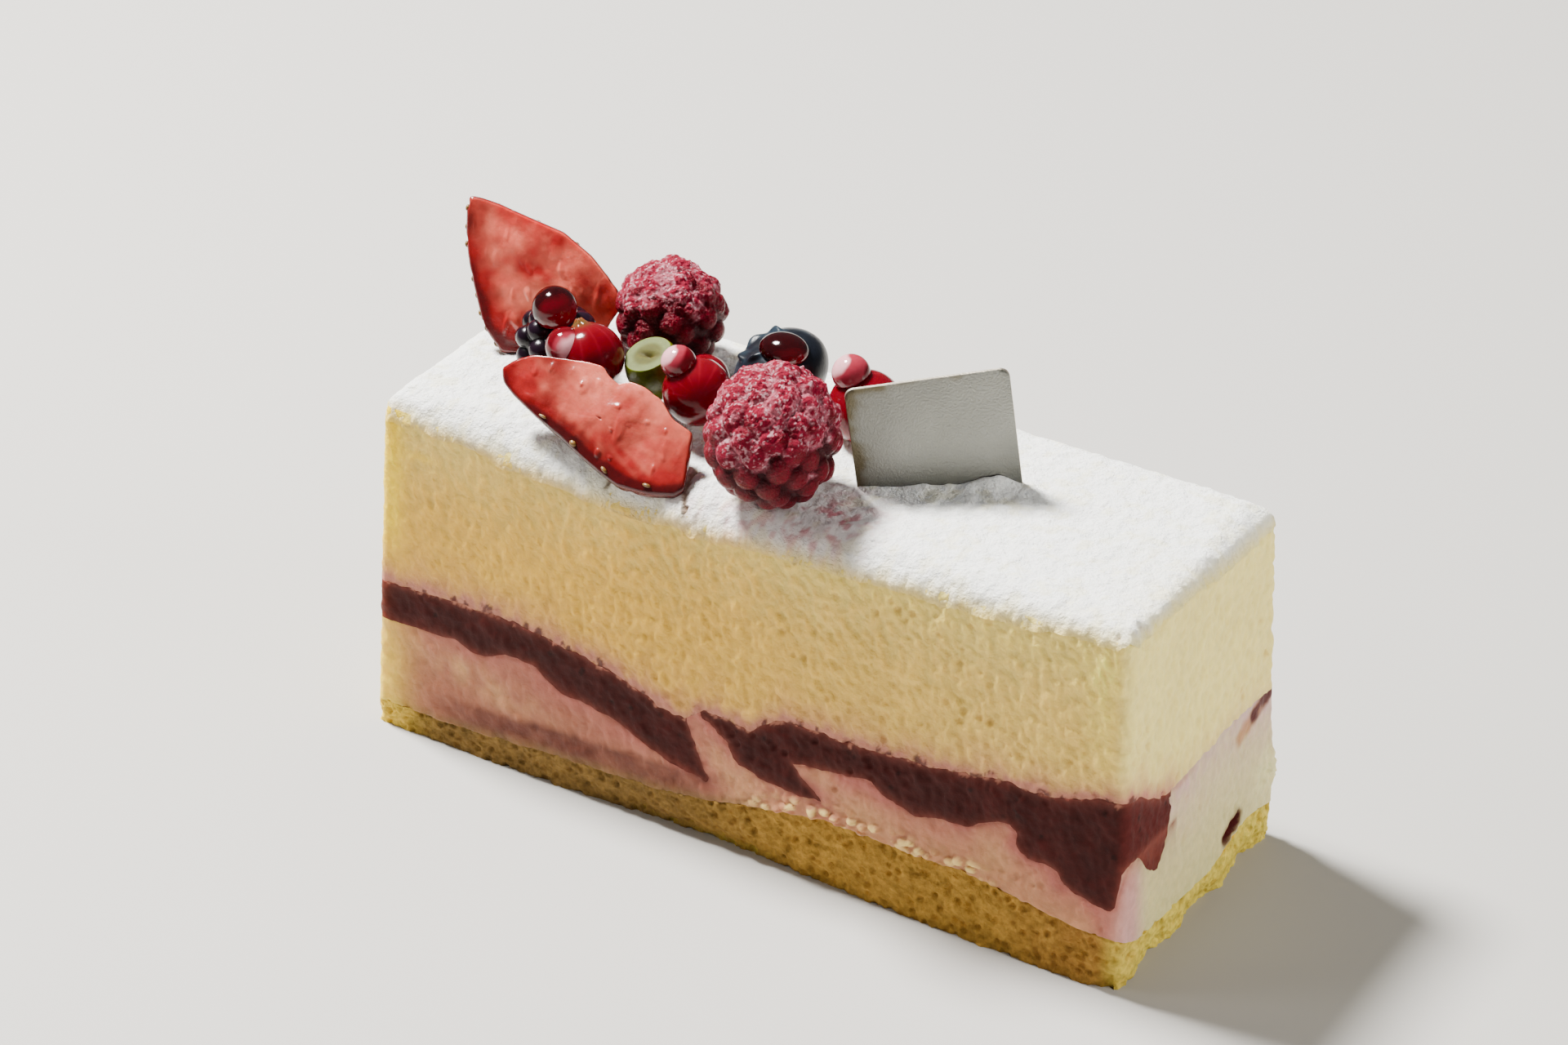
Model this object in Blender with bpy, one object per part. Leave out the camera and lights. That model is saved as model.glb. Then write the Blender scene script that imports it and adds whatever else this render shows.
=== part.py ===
"""Layered mousse cake slice with fruit and a blank metal plaque.

Metres, +Z up. The origin is the middle of the flat base, +X runs along the slice
and -Y is the long cut side with the dark fruit band showing. The layers are slabs
between height maps, the dark bands are lofted along Y and let into the mousse, and
the fruits are small closed solids laid on the sugared top."""

import bpy
import bmesh
import numpy as np
from mathutils import Vector

MM = 0.001
HEIGHT = 47.0
HALF_X = 51.23
HALF_Y = 17.65
DRAFT = 1.927
CORNER_R = 1.2
GAP = 0.3
SUGAR = 0.8
NX = 25
NY = 11
PLAQUE_W = 19.0
PLAQUE_H = 14.6
PLAQUE_T = 0.5
PLAQUE_TUCK = 2.6

# name: base colour, roughness, metallic
LOOKS = {
    "sponge": ((0.80, 0.58, 0.20), 0.85, 0.0),
    "pink_mousse": ((0.90, 0.66, 0.62), 0.55, 0.0),
    "dark_mousse": ((0.19, 0.05, 0.06), 0.5, 0.0),
    "cream": ((0.90, 0.80, 0.52), 0.5, 0.0),
    "sugar": ((0.95, 0.94, 0.92), 0.9, 0.0),
    "strawberry": ((0.72, 0.09, 0.05), 0.2, 0.0),
    "raspberry": ((0.50, 0.05, 0.09), 0.6, 0.0),
    "bramble": ((0.03, 0.012, 0.03), 0.25, 0.0),
    "currant": ((0.62, 0.02, 0.03), 0.12, 0.0),
    "blueberry": ((0.03, 0.035, 0.08), 0.45, 0.0),
    "green_berry": ((0.30, 0.32, 0.07), 0.3, 0.0),
    "glaze": ((0.75, 0.20, 0.25), 0.06, 0.0),
    "metal": ((0.62, 0.60, 0.54), 0.35, 1.0),
}


def clear_scene():
    for ob in list(bpy.data.objects):
        bpy.data.objects.remove(ob, do_unlink=True)


def look(slot):
    mat = bpy.data.materials.get(slot)
    if mat is None:
        colour, rough, metal = LOOKS[slot]
        mat = bpy.data.materials.new(slot)
        mat.use_nodes = True
        shader = mat.node_tree.nodes["Principled BSDF"]
        shader.inputs["Base Color"].default_value = (*colour, 1.0)
        shader.inputs["Roughness"].default_value = rough
        shader.inputs["Metallic"].default_value = metal
    return mat


def collection(name):
    col = bpy.data.collections.new(name)
    bpy.context.scene.collection.children.link(col)
    return col


def solid(name, points, faces, slot, col):
    """Closed body from points in millimetres, triangulated, faces turned outward."""
    mesh = bpy.data.meshes.new(name)
    bm = bmesh.new()
    verts = [bm.verts.new(Vector(p) * MM) for p in points]
    for face in faces:
        if len(set(face)) > 2:
            bm.faces.new([verts[i] for i in face])
    bmesh.ops.remove_doubles(bm, verts=bm.verts, dist=2e-6)
    bmesh.ops.triangulate(bm, faces=bm.faces)
    bmesh.ops.recalc_face_normals(bm, faces=bm.faces)
    bm.to_mesh(mesh)
    bm.free()
    mesh.materials.append(look(slot))
    ob = bpy.data.objects.new(name, mesh)
    col.objects.link(ob)
    return ob


def cut(ob, tool, how):
    mod = ob.modifiers.new(how.lower() + "_" + tool.name, "BOOLEAN")
    mod.operation = how
    mod.solver = "EXACT"
    mod.object = tool
    return mod


def smooth(x, a, b):
    t = np.clip((x - a) / (b - a), 0.0, 1.0)
    return t * t * (3.0 - 2.0 * t)


# outlines read along the long front side, x then z, in millimetres
BAND_TOP = np.array([
    (-56, 20.5), (-48.3, 20.8), (-44.3, 21.1), (-37.3, 21.4), (-30.3, 21.2), (-26.8, 20.8),
    (-21.7, 20.1), (-15.7, 18.9), (-13.2, 18.1), (-10.7, 17.0), (-8.2, 16.4), (-6.6, 16.6),
    (-4.0, 18.5), (-0.3, 18.4), (2.5, 17.9), (4.5, 19.6), (7, 21), (17, 21), (23.3, 21.6),
    (30, 22.3), (36.8, 23.5), (42.9, 23.5), (45.7, 24.3), (48.8, 25.4), (56, 25.8)])
LEFT_BAND = [
    (-60, 15.5), (-46.2, 15.5), (-40.4, 16.0), (-38.6, 15.3), (-36.0, 15.0), (-32.9, 16.2),
    (-28.6, 16.5), (-26.8, 15.0), (-24.7, 13.9), (-20.4, 13.6), (-15.7, 12.3), (-13.1, 11.2),
    (-10.6, 10.3), (-5.5, 9.2), (-3.8, 8.6), (-3.3, 9.4), (-4.5, 11.4), (-5.2, 13.6),
    (-6.4, 16.0), (-9.5, 28.0), (-60, 28.0)]
RIGHT_BAND = [
    (-4.6, 18.0), (-2.3, 16.6), (-0.7, 15.2), (1.0, 13.0), (3.9, 12.0), (9.7, 11.6),
    (12.6, 11.6), (11.3, 13.0), (9.7, 14.4), (8.8, 15.6), (11.7, 16.2), (18.6, 16.9),
    (21.6, 15.8), (24.7, 14.6), (28.5, 15.3), (32.4, 15.7), (34.7, 16.9), (37.1, 18.0),
    (38.5, 17.5), (38.7, 15.6), (40.2, 14.2), (42.5, 14.6), (44.0, 14.1), (45.1, 12.6),
    (47.9, 11.7), (50.3, 11.1), (53.0, 12.4), (60, 13.4), (60, 32.0), (-3.0, 32.0)]
SPONGE_TOP = np.array([
    (-56, 3.4), (-42, 3.5), (-35, 3.8), (-28.6, 4.4), (-22, 4.7), (-11, 5.2), (-3, 6.2),
    (1, 7.3), (7, 8.5), (13, 9.6), (18, 9.4), (26, 9.3), (31, 9.4), (40, 8.8), (45, 8.2),
    (50, 7.1), (56, 6.6)])
SPONGE_RIGHT = np.array([
    (-19, 7.6), (-14.7, 5.6), (-12, 5.3), (-6.7, 5.1), (-2.2, 5.0), (2.4, 4.8), (7, 5.8),
    (11.6, 6.7), (15.5, 6.1), (18.4, 5.2)])
SUGAR_DROP = np.array([
    (-52, 3.4), (-40, 3.8), (-32, 4.6), (-22, 5.2), (-12, 5.0), (-4, 5.0), (5, 4.6),
    (20, 4.0), (34, 3.2), (43, 2.4), (52, 1.9)])


def band_top(x, y):
    """Underside of the upper cream: the read front line, easing down to the right side."""
    z = np.interp(x, BAND_TOP[:, 0], BAND_TOP[:, 1])
    z = z - 3.6 * smooth(x, 38, 51) * smooth(y, -18, -9)
    return z + 0.5 * np.sin(0.17 * x + 0.21 * (y + 18)) * smooth(y, -14, 2)


def sponge_top(x, y):
    z = np.interp(x, SPONGE_TOP[:, 0], SPONGE_TOP[:, 1])
    side = np.interp(y, SPONGE_RIGHT[:, 0], SPONGE_RIGHT[:, 1])
    w = smooth(x, 32, 51)
    back = 0.5 * np.sin(0.23 * x - 0.3 * y) * smooth(y, -12, 4) * (1 - w)
    return z * (1 - w) + side * w + back


def round_r(x, y):
    """Radius of the softened top edge: large along the front, small at the right."""
    front = np.interp(x, SUGAR_DROP[:, 0], SUGAR_DROP[:, 1])
    rest = 2.4 + 0.9 * smooth(y, -10, 17)
    return front * (1 - smooth(y, -6, 6)) + rest * smooth(y, -6, 6)


def footprint(s, t, z, inset=0.0, corner=0.0):
    """Point of the drafted, corner-rounded outline at height z for s, t in -1..1."""
    hx = HALF_X + DRAFT * (1 - z / HEIGHT) - inset
    hy = HALF_Y + DRAFT * (1 - z / HEIGHT) - inset
    x = s * hx
    y = t * hy
    r = np.maximum(CORNER_R - inset, 0.15) + corner
    qx = np.maximum(np.abs(x) - (hx - r), 0.0) / r
    qy = np.maximum(np.abs(y) - (hy - r), 0.0) / r
    size = np.maximum(np.hypot(qx, qy), 1e-9)
    both = (qx > 0) & (qy > 0)
    k = np.where(both, np.maximum(qx, qy) / size, 1.0)
    x = np.where(both, np.sign(x) * (hx - r + r * qx * k), x)
    y = np.where(both, np.sign(y) * (hy - r + r * qy * k), y)
    return x, y


def sag(x, y):
    """How far the front edge has settled under the fruit."""
    return 0.5 * np.exp(-((x + 12) / 24) ** 2) * (1 - smooth(y, -15, 2))


def crown(x, y, inset=0.0, top=HEIGHT):
    """Height of the softened top face over a point, less an inset skin."""
    hx = HALF_X - inset
    hy = HALF_Y - inset
    r = np.maximum(round_r(x, y) - inset, 0.4)
    ex = np.maximum(0.0, 1 - (hx - np.abs(x)) / r)
    ey = np.maximum(0.0, 1 - (hy - np.abs(y)) / r)
    e = np.minimum((ex ** 5 + ey ** 5) ** 0.2, 1.0)
    return top - inset - sag(x, y) - r * (1 - np.sqrt(np.maximum(1 - e * e, 0.0)))


def spread(n, tight):
    """Grid stations from -1 to 1, closer together at both ends."""
    u = np.linspace(-1.0, 1.0, n)
    return np.sign(u) * (1 - (1 - np.abs(u)) ** tight)


S, T = np.meshgrid(spread(NX, 1.5), spread(NY, 1.95), indexing="ij")


def rim():
    """Grid indices once round the edge of the sheet, counter-clockwise from above."""
    a = [(i, 0) for i in range(NX - 1)]
    a += [(NX - 1, j) for j in range(NY - 1)]
    a += [(i, NY - 1) for i in range(NX - 1, 0, -1)]
    a += [(0, j) for j in range(NY - 1, 0, -1)]
    return a


def sheet_faces(base, flip):
    faces = []
    for i in range(NX - 1):
        for j in range(NY - 1):
            a = base + i * NY + j
            b = base + (i + 1) * NY + j
            f = [a, b, b + 1, a + 1]
            faces.append(f[::-1] if flip else f)
    return faces


def two_sheets(name, low, high, rings, slot, col):
    """Closed slab from a lower sheet, an upper sheet and rings of wall between them."""
    pts = np.vstack([low.reshape(-1, 3), high.reshape(-1, 3)])
    faces = sheet_faces(0, True) + sheet_faces(NX * NY, False)
    loop = rim()
    n = len(loop)
    rows = [[i * NY + j for i, j in loop]]
    for ring in rings:
        start = len(pts)
        pts = np.vstack([pts, ring])
        rows.append(list(range(start, start + n)))
    rows.append([NX * NY + i * NY + j for i, j in loop])
    for lo, hi in zip(rows[:-1], rows[1:]):
        for k in range(n):
            m = (k + 1) % n
            faces.append([lo[k], lo[m], hi[m], hi[k]])
    return solid(name, pts.tolist(), faces, slot, col)


def sheet(height, inset=0.0, wide=0.0):
    """Sheet at a height map; the outline follows the draft at that height."""
    x, y = footprint(S, T, 20.0, inset)
    z = height(x, y)
    x, y = footprint(S, T, z, inset - wide)
    return np.stack([x, y, z], axis=-1)


def ring_at(z_of, inset, corner=0.0):
    s = np.array([S[i, j] for i, j in rim()])
    t = np.array([T[i, j] for i, j in rim()])
    x, y = footprint(s, t, 20.0, inset, corner)
    z = z_of(x, y)
    x, y = footprint(s, t, z, inset, corner)
    return np.stack([x, y, z], axis=-1)


def sponge(col):
    """Bottom sponge with its ragged, slightly undercut foot along the front and right."""
    def nibble(p, amount):
        x, y = p[..., 0], p[..., 1]
        front = (1 - smooth(y, -19, -15)) * (1.5 * np.exp(-((x + 3) / 17) ** 2) + 0.25)
        side = smooth(x, 48, 52) * (0.8 + 0.5 * np.sin(y * 0.55 + 1.0))
        out = p.copy()
        out[..., 1] += amount * front
        out[..., 0] -= amount * side
        return out
    low = nibble(sheet(lambda x, y: np.zeros_like(x)), 1.0)
    foot = nibble(ring_at(lambda x, y: 0 * x + 2.2, 0.0), 0.55)
    high = sheet(lambda x, y: sponge_top(x, y))
    return two_sheets("sponge_base", low, high, [foot], "sponge", col)


def middle_slab(name, slot, col):
    low = sheet(lambda x, y: sponge_top(x, y) + GAP)
    high = sheet(lambda x, y: band_top(x, y) - GAP / 2)
    wall = ring_at(lambda x, y: 0.5 * (sponge_top(x, y) + band_top(x, y)), 0.0)
    return two_sheets(name, low, high, [wall], slot, col)


def grown(outline, d):
    """The outline moved outward by d, mitred at its corners."""
    p = np.array(outline, float)
    a = p - np.roll(p, 1, axis=0)
    b = np.roll(p, -1, axis=0) - p
    na = np.stack([a[:, 1], -a[:, 0]], 1) / np.linalg.norm(a, axis=1)[:, None]
    nb = np.stack([b[:, 1], -b[:, 0]], 1) / np.linalg.norm(b, axis=1)[:, None]
    m = na + nb
    m = m / np.maximum((m * m).sum(1) / 2.0, 0.55)[:, None]
    return p + d * m


def band_body(name, outline, right, d, col):
    """Loft of a band outline along Y; the right band draws back from the right side."""
    base = np.array(outline, float)
    stations = np.array([-24.0, -17.0, -13.0, -10.5, -8.0, -5.5, -2.5, 5.0, 11.0, 17.0, 24.0])
    pts = []
    for y in stations:
        x, z = base[:, 0].copy(), base[:, 1].copy()
        depth = smooth(y, -17, 10)
        low = 1 - smooth(z, 15.0, 22.0)
        x = x + 0.9 * np.sin(0.19 * y) * depth
        z = z + low * 0.7 * depth * np.sin(0.21 * x + 0.3 * y)
        if right:
            keep = 1 - 0.8 * smooth(y, -13.0, -2.5)
            x = np.where(x > 43, 43 + (x - 43) * keep, x)
        flat = grown(np.stack([x, z], 1), d)
        pts.append(np.stack([flat[:, 0], np.full_like(x, y), flat[:, 1]], 1))
    n = len(base)
    pts = np.vstack(pts)
    faces = [list(range(n))[::-1], [(len(stations) - 1) * n + k for k in range(n)]]
    for r in range(len(stations) - 1):
        for k in range(n):
            m = (k + 1) % n
            faces.append([r * n + k, r * n + m, (r + 1) * n + m, (r + 1) * n + k])
    return solid(name, pts.tolist(), faces, "dark_mousse", col)


def cream(col):
    """Thick pale cream with a rebate round its top for the sugar skin."""
    inner = SUGAR + GAP + 0.1
    low = sheet(lambda x, y: band_top(x, y) + GAP / 2)
    x, y = footprint(S, T, HEIGHT, inner, 1.6)
    high = np.stack([x, y, crown(x, y, inner) - 0.2], -1)
    edge = lambda x, y: HEIGHT - round_r(x, y) - sag(x, y) - GAP - 0.1
    outer = ring_at(edge, 0.0)
    ledge = ring_at(edge, inner, 1.6)
    return two_sheets("upper_cream", low, high, [outer, ledge], "cream", col)


def sugar(col):
    """Snow sugar skin over the top face and down the softened edge."""
    x0, y0 = footprint(S, T, HEIGHT, SUGAR)
    low = np.stack([x0, y0, crown(x0, y0, SUGAR)], -1)
    x1, y1 = footprint(S, T, HEIGHT, 0.0)
    high = np.stack([x1, y1, crown(x1, y1)], -1)
    return two_sheets("snow_sugar_top", low, high, [], "sugar", col)


def ball(centre, radii, rows=10, cols=16, bumps=0.0, counts=(0, 0), up=(0, 0, 1), dent=None, flat=None):
    """Points and faces of a round fruit; bumps stand for its drupelets, flat for a cut face."""
    axis = Vector(up).normalized()
    turn = Vector((0, 0, 1)).rotation_difference(axis).to_matrix()
    pts, faces = [], []
    for r in range(rows + 1):
        lat = np.pi * r / rows
        for c in range(cols if 0 < r < rows else 1):
            lon = 2 * np.pi * (c + 0.5 * (r % 2)) / cols
            k = 1.0
            if bumps:
                k += bumps * np.sin(lat * counts[0]) * np.cos(lon * counts[1]) * np.sin(lat)
            if dent:
                k -= dent * np.exp(-(lat / 0.34) ** 2) - 0.5 * dent * np.exp(-((lat - 0.55) / 0.16) ** 2)
            p = Vector((radii[0] * k * np.sin(lat) * np.cos(lon),
                        radii[1] * k * np.sin(lat) * np.sin(lon), radii[2] * k * np.cos(lat)))
            if flat is not None:
                hollow = 0.5 * np.exp(-(p.xy.length / 1.1) ** 2)
                p.z = min(p.z, flat - hollow)
            pts.append(tuple(Vector(centre) + turn @ p))
    first = [0] + [1 + (r - 1) * cols for r in range(1, rows)] + [1 + (rows - 1) * cols]
    for r in range(rows):
        for c in range(cols):
            a = first[r] + (c if 0 < r else 0)
            b = first[r] + ((c + 1) % cols if 0 < r else 0)
            d = first[r + 1] + (c if r + 1 < rows else 0)
            e = first[r + 1] + ((c + 1) % cols if r + 1 < rows else 0)
            if r == 0:
                faces.append([a, d, e])
            elif r == rows - 1:
                faces.append([a, d, b])
            elif r % 2:
                faces += [[a, d, b], [b, d, e]]
            else:
                faces += [[a, d, e], [a, e, b]]
    return pts, faces


def seated(pts):
    """Flatten what would sink into the sugar so it rests just over it."""
    p = np.array(pts, float)
    floor = crown(p[:, 0], p[:, 1]) + GAP + 0.1
    on_top = (np.abs(p[:, 0]) < HALF_X) & (np.abs(p[:, 1]) < HALF_Y)
    p[:, 2] = np.where(on_top, np.maximum(p[:, 2], floor), np.maximum(p[:, 2], HEIGHT - 2.0))
    return p.tolist()


def fruit(name, slot, col, centre, radii, **kw):
    pts, faces = ball(centre, radii, **kw)
    return solid(name, seated(pts), faces, slot, col)


def domed_slice(name, outline, back, front, slot, col):
    """Cut strawberry: a flat face outline in 3-D, domed a little in front and swelling
    behind it along the vector back, whose length is the depth of flesh."""
    p = np.array(outline, float)
    c = p.mean(0)
    _, _, v = np.linalg.svd(p - c)
    n = v[2] * (1 if np.dot(v[2], back) > 0 else -1)
    rows = [p]
    for k in (0.25, 0.5, 0.75, 0.93):
        shrink = (1 - k ** 2.2) ** 0.5
        rows.append(c + (p - c) * shrink + np.array(back) * k)
    pts = np.vstack(rows + [c + np.array(back), c - n * front, c + (p - c) * 0.62 - n * front * 0.8])
    m = len(p)
    tip = len(rows) * m
    faces = []
    for r in range(len(rows) - 1):
        for k in range(m):
            j = (k + 1) % m
            faces.append([r * m + k, r * m + j, (r + 1) * m + j, (r + 1) * m + k])
    for k in range(m):
        j = (k + 1) % m
        faces.append([(len(rows) - 1) * m + k, (len(rows) - 1) * m + j, tip])
        faces.append([j, k, tip + 2 + k, tip + 2 + j])
        faces.append([tip + 2 + j, tip + 2 + k, tip + 1])
    return solid(name, seated(pts.tolist()), faces, slot, col)


def drop(name, centre, radii, host, col, tools):
    """Bead of clear glaze seated on a fruit: an ellipsoid less the grown fruit."""
    pts, faces = ball(centre, radii, rows=7, cols=12)
    bead = solid(name, pts, faces, "glaze", col)
    hp, hf = ball(host[0], [r + GAP for r in host[1]], rows=12, cols=18, up=host[2])
    cut(bead, solid("seat_" + name, hp, hf, "glaze", tools), "DIFFERENCE")
    return bead


def plate(name, grow, col):
    """Plaque standing on its edge: width direction turned 35 deg, rolled 7.8 deg."""
    yaw = np.radians(35.0)
    roll = np.radians(7.8)
    wide = np.array([np.cos(yaw), np.sin(yaw), 0.0])
    up = np.array([0.0, 0.0, 1.0])
    a = np.cos(roll) * wide + np.sin(roll) * up
    b = -np.sin(roll) * wide + np.cos(roll) * up
    n = np.array([-np.sin(yaw), np.cos(yaw), 0.0])
    mid = np.array([16.3, -1.5, 54.2])
    w, h, t = PLAQUE_W / 2 + grow, PLAQUE_H / 2 + grow, PLAQUE_T / 2 + grow
    low = -h - PLAQUE_TUCK
    r = 1.1 + grow
    flat = []
    corners = ((w - r, h - r, 0), (-w + r, h - r, 90), (-w + r, low + r, 180), (w - r, low + r, 270))
    for cx, cy, a0 in corners:
        for k in range(5):
            ang = np.radians(a0 + 22.5 * k)
            flat.append((cx + r * np.cos(ang), cy + r * np.sin(ang)))
    pts = [tuple(mid + a * u + b * v + n * s) for s in (-t, t) for u, v in flat]
    m = len(flat)
    faces = [list(range(m))[::-1], list(range(m, 2 * m))]
    faces += [[k, (k + 1) % m, m + (k + 1) % m, m + k] for k in range(m)]
    return solid(name, pts, faces, "metal", col)


REAR_BERRY = [
    (-43.9, -2.9, 47.6), (-45.2, -3.0, 49.1), (-46.4, -3.1, 50.6), (-47.4, -2.6, 52.9),
    (-48.3, -2.2, 55.2), (-49.4, -1.6, 58.0), (-50.2, -0.9, 60.8), (-50.7, 0.1, 64.1),
    (-50.7, 0.8, 65.5), (-49.3, 1.4, 65.3), (-47.5, 2.2, 64.7), (-43.8, 3.7, 63.1),
    (-40.0, 5.2, 61.6), (-36.5, 6.1, 58.9), (-34.4, 6.4, 56.6), (-33.0, 6.5, 55.0),
    (-32.1, 6.5, 53.6), (-33.2, 4.9, 51.2), (-33.6, 3.6, 48.9), (-35.7, 1.9, 47.6),
    (-39.5, -0.5, 47.3)]
FRONT_BERRY = [
    (-34.8, -15.2, 54.0), (-33.5, -14.2, 55.0), (-31.6, -13.3, 55.8), (-29.4, -12.8, 56.0),
    (-27.1, -12.3, 56.1), (-24.9, -11.8, 56.2), (-22.8, -11.5, 56.1), (-21.6, -12.0, 55.3),
    (-20.1, -12.1, 54.7), (-18.9, -11.5, 55.2), (-17.0, -11.4, 55.0), (-14.4, -11.6, 54.1),
    (-12.3, -12.5, 52.6), (-9.5, -12.6, 51.7), (-8.9, -14.2, 49.5), (-8.6, -15.4, 47.8),
    (-8.3, -16.4, 46.3), (-9.2, -17.1, 45.6), (-12.6, -18.0, 45.2), (-16.2, -18.5, 45.4),
    (-18.8, -18.3, 46.2), (-22.7, -17.8, 47.7), (-24.9, -17.5, 48.7), (-28.5, -17.1, 50.1),
    (-30.6, -16.7, 50.9), (-32.6, -16.4, 51.8), (-34.1, -16.0, 52.7)]


def build():
    clear_scene()
    col = collection("layered_mousse_cake_slice")
    tools = collection("cutters")
    tools.hide_render = True

    sponge(col)
    mousse = middle_slab("lower_mousse", "pink_mousse", col)
    for side, outline in (("left", LEFT_BAND), ("right", RIGHT_BAND)):
        band = middle_slab("berry_layer_" + side, "dark_mousse", col)
        cut(band, band_body("keep_" + side, outline, side == "right", 0.0, tools), "INTERSECT")
        cut(mousse, band_body("clear_" + side, outline, side == "right", GAP + 0.1, tools), "DIFFERENCE")
    body = cream(col)
    skin = sugar(col)
    slot_tool = plate("plaque_slot", GAP, tools)
    cut(body, slot_tool, "DIFFERENCE")
    cut(skin, slot_tool, "DIFFERENCE")
    plate("plaque", 0.0, col)

    domed_slice("strawberry_rear", REAR_BERRY, (-2.4, 4.6, -1.6), 0.4, "strawberry", col)
    domed_slice("strawberry_front", FRONT_BERRY, (0.4, 1.6, -3.8), 0.4, "strawberry", col)
    fruit("raspberry_front", "raspberry", col, (2.15, -13.2, 55.2), (7.9, 7.9, 8.9),
          rows=14, cols=24, bumps=0.05, counts=(8, 7))
    fruit("raspberry_rear", "raspberry", col, (-25.4, 6.9, 54.0), (6.75, 6.75, 6.7),
          rows=12, cols=20, bumps=0.05, counts=(7, 6))
    fruit("bramble_berry", "bramble", col, (-35.4, -3.3, 51.7), (5.0, 5.0, 4.8),
          rows=10, cols=16, bumps=0.05, counts=(6, 5))
    fruit("redcurrant_left", "currant", col, (-27.5, -7.6, 54.0), (4.1, 4.1, 4.1))
    fruit("redcurrant_mid_front", "currant", col, (-13.2, -6.1, 53.0), (4.0, 4.0, 4.0))
    fruit("redcurrant_mid_rear", "currant", col, (-17.0, 1.5, 50.1), (2.8, 2.8, 2.8))
    fruit("redcurrant_right", "currant", col, (4.15, 3.6, 51.6), (4.4, 4.4, 4.4))
    fruit("blueberry", "blueberry", col, (-8.5, 4.8, 52.0), (6.0, 6.0, 4.7), rows=12, cols=20,
          up=(-0.5, -0.25, 0.83), dent=0.12)
    fruit("green_berry_half", "green_berry", col, (-20.7, -3.9, 52.9), (3.4, 3.4, 4.2),
          rows=14, up=(0.25, -0.5, 0.83), flat=2.3)

    drop("glaze_drop_bramble", (-34.6, -4.5, 57.1), (2.75, 2.75, 2.75),
         ((-35.4, -3.3, 51.7), (5.25, 5.25, 5.0), (0, 0, 1)), col, tools)
    drop("glaze_drop_left", (-29.5, -9.6, 55.7), (2.3, 2.3, 2.3),
         ((-27.5, -7.6, 54.0), (4.1, 4.1, 4.1), (0, 0, 1)), col, tools)
    drop("glaze_drop_mid", (-15.0, -7.2, 56.8), (2.1, 2.1, 2.1),
         ((-13.2, -6.1, 53.0), (4.0, 4.0, 4.0), (0, 0, 1)), col, tools)
    drop("glaze_drop_blueberry", (-6.9, 3.0, 56.3), (3.1, 2.6, 1.9),
         ((-8.5, 4.8, 52.0), (6.1, 6.1, 4.8), (-0.5, -0.25, 0.83)), col, tools)
    drop("glaze_drop_right", (2.5, 2.85, 56.0), (2.3, 2.3, 2.3),
         ((4.15, 3.6, 51.6), (4.4, 4.4, 4.4), (0, 0, 1)), col, tools)

    for ob in tools.objects:
        ob.hide_render = True
        ob.display_type = "WIRE"


build()
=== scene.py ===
# %% [markdown]
# A slice of layered mousse cake, dressed round its CAD frame.
# The slice is a rectangular block: sponge at the foot, pale pink mousse, a dark berry band,
# thick cream and a snow-sugar top with fruit and a blank metal plaque. Each layer is a sheet
# wrapped round the block in closed rings, and each fruit is a ball whose radius is a formula.
# Everything is worked out in millimetres with numpy and put into meshes at the end.

import bpy
import numpy as np
from mathutils import Matrix, Vector


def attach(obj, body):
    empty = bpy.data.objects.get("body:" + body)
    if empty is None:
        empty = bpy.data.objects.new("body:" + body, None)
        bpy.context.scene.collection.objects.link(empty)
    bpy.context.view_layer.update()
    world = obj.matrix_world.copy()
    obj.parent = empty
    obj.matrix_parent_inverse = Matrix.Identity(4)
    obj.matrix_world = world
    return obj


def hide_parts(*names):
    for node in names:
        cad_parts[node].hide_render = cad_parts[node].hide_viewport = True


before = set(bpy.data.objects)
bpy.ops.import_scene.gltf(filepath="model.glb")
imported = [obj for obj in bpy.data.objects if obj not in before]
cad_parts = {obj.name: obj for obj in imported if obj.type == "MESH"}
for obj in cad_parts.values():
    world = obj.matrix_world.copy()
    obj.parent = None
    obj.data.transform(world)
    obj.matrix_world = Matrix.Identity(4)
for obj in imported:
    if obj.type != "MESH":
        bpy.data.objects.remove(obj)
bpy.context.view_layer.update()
print("CAD nodes:", len(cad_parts))

# %% [markdown]
# The driving sizes are those of the CAD source. The block is a little wider at its foot than
# at its top, as cake pressed in a tapering frame is, so the side planes lean by DRAFT.

# %% Sizes of the slice, in millimetres
MM = 0.001
HEIGHT = 47.0
HALF_X = 51.23
HALF_Y = 17.65
DRAFT = 1.927
CORNER_R = 1.5
DENSITY = 1.0


def steps(n):
    return int(n * DENSITY)


print("foot of the block:", 2 * (HALF_X + DRAFT), "x", 2 * (HALF_Y + DRAFT), "mm")

# %% [markdown]
# Three small helpers shape almost everything that follows. A soft step fades one thing into
# another, a bell marks a spot or a line, and a blend mixes two colours by such a mark. Written
# as formulas on arrays, they serve thousands of points at once.

# %% Soft steps, bells and blends
def smooth(x, a, b):
    """Goes from 0 at a to 1 at b along 3t^2 - 2t^3."""
    t = np.clip((x - a) / (b - a), 0.0, 1.0)
    return t * t * (3.0 - 2.0 * t)


def bell(x, middle, width):
    """Bell curve of height 1: e to the minus ((x - middle) / width) squared."""
    return np.exp(-((x - middle) / width) ** 2)


def blend(a, b, w):
    """Colour a moved towards colour b by the share w at each point."""
    w = np.clip(w, 0.0, 1.0)[..., None]
    return a * (1 - w) + b * w


print("a soft step at its quarter:", smooth(0.25, 0.0, 1.0))

# %% [markdown]
# Food is never even, so nearly every surface below is pushed about and tinted by random fields.
# Blender has noise of its own, but a lattice noise written out here runs on whole arrays at
# once and gives the same numbers on every run.

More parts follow.
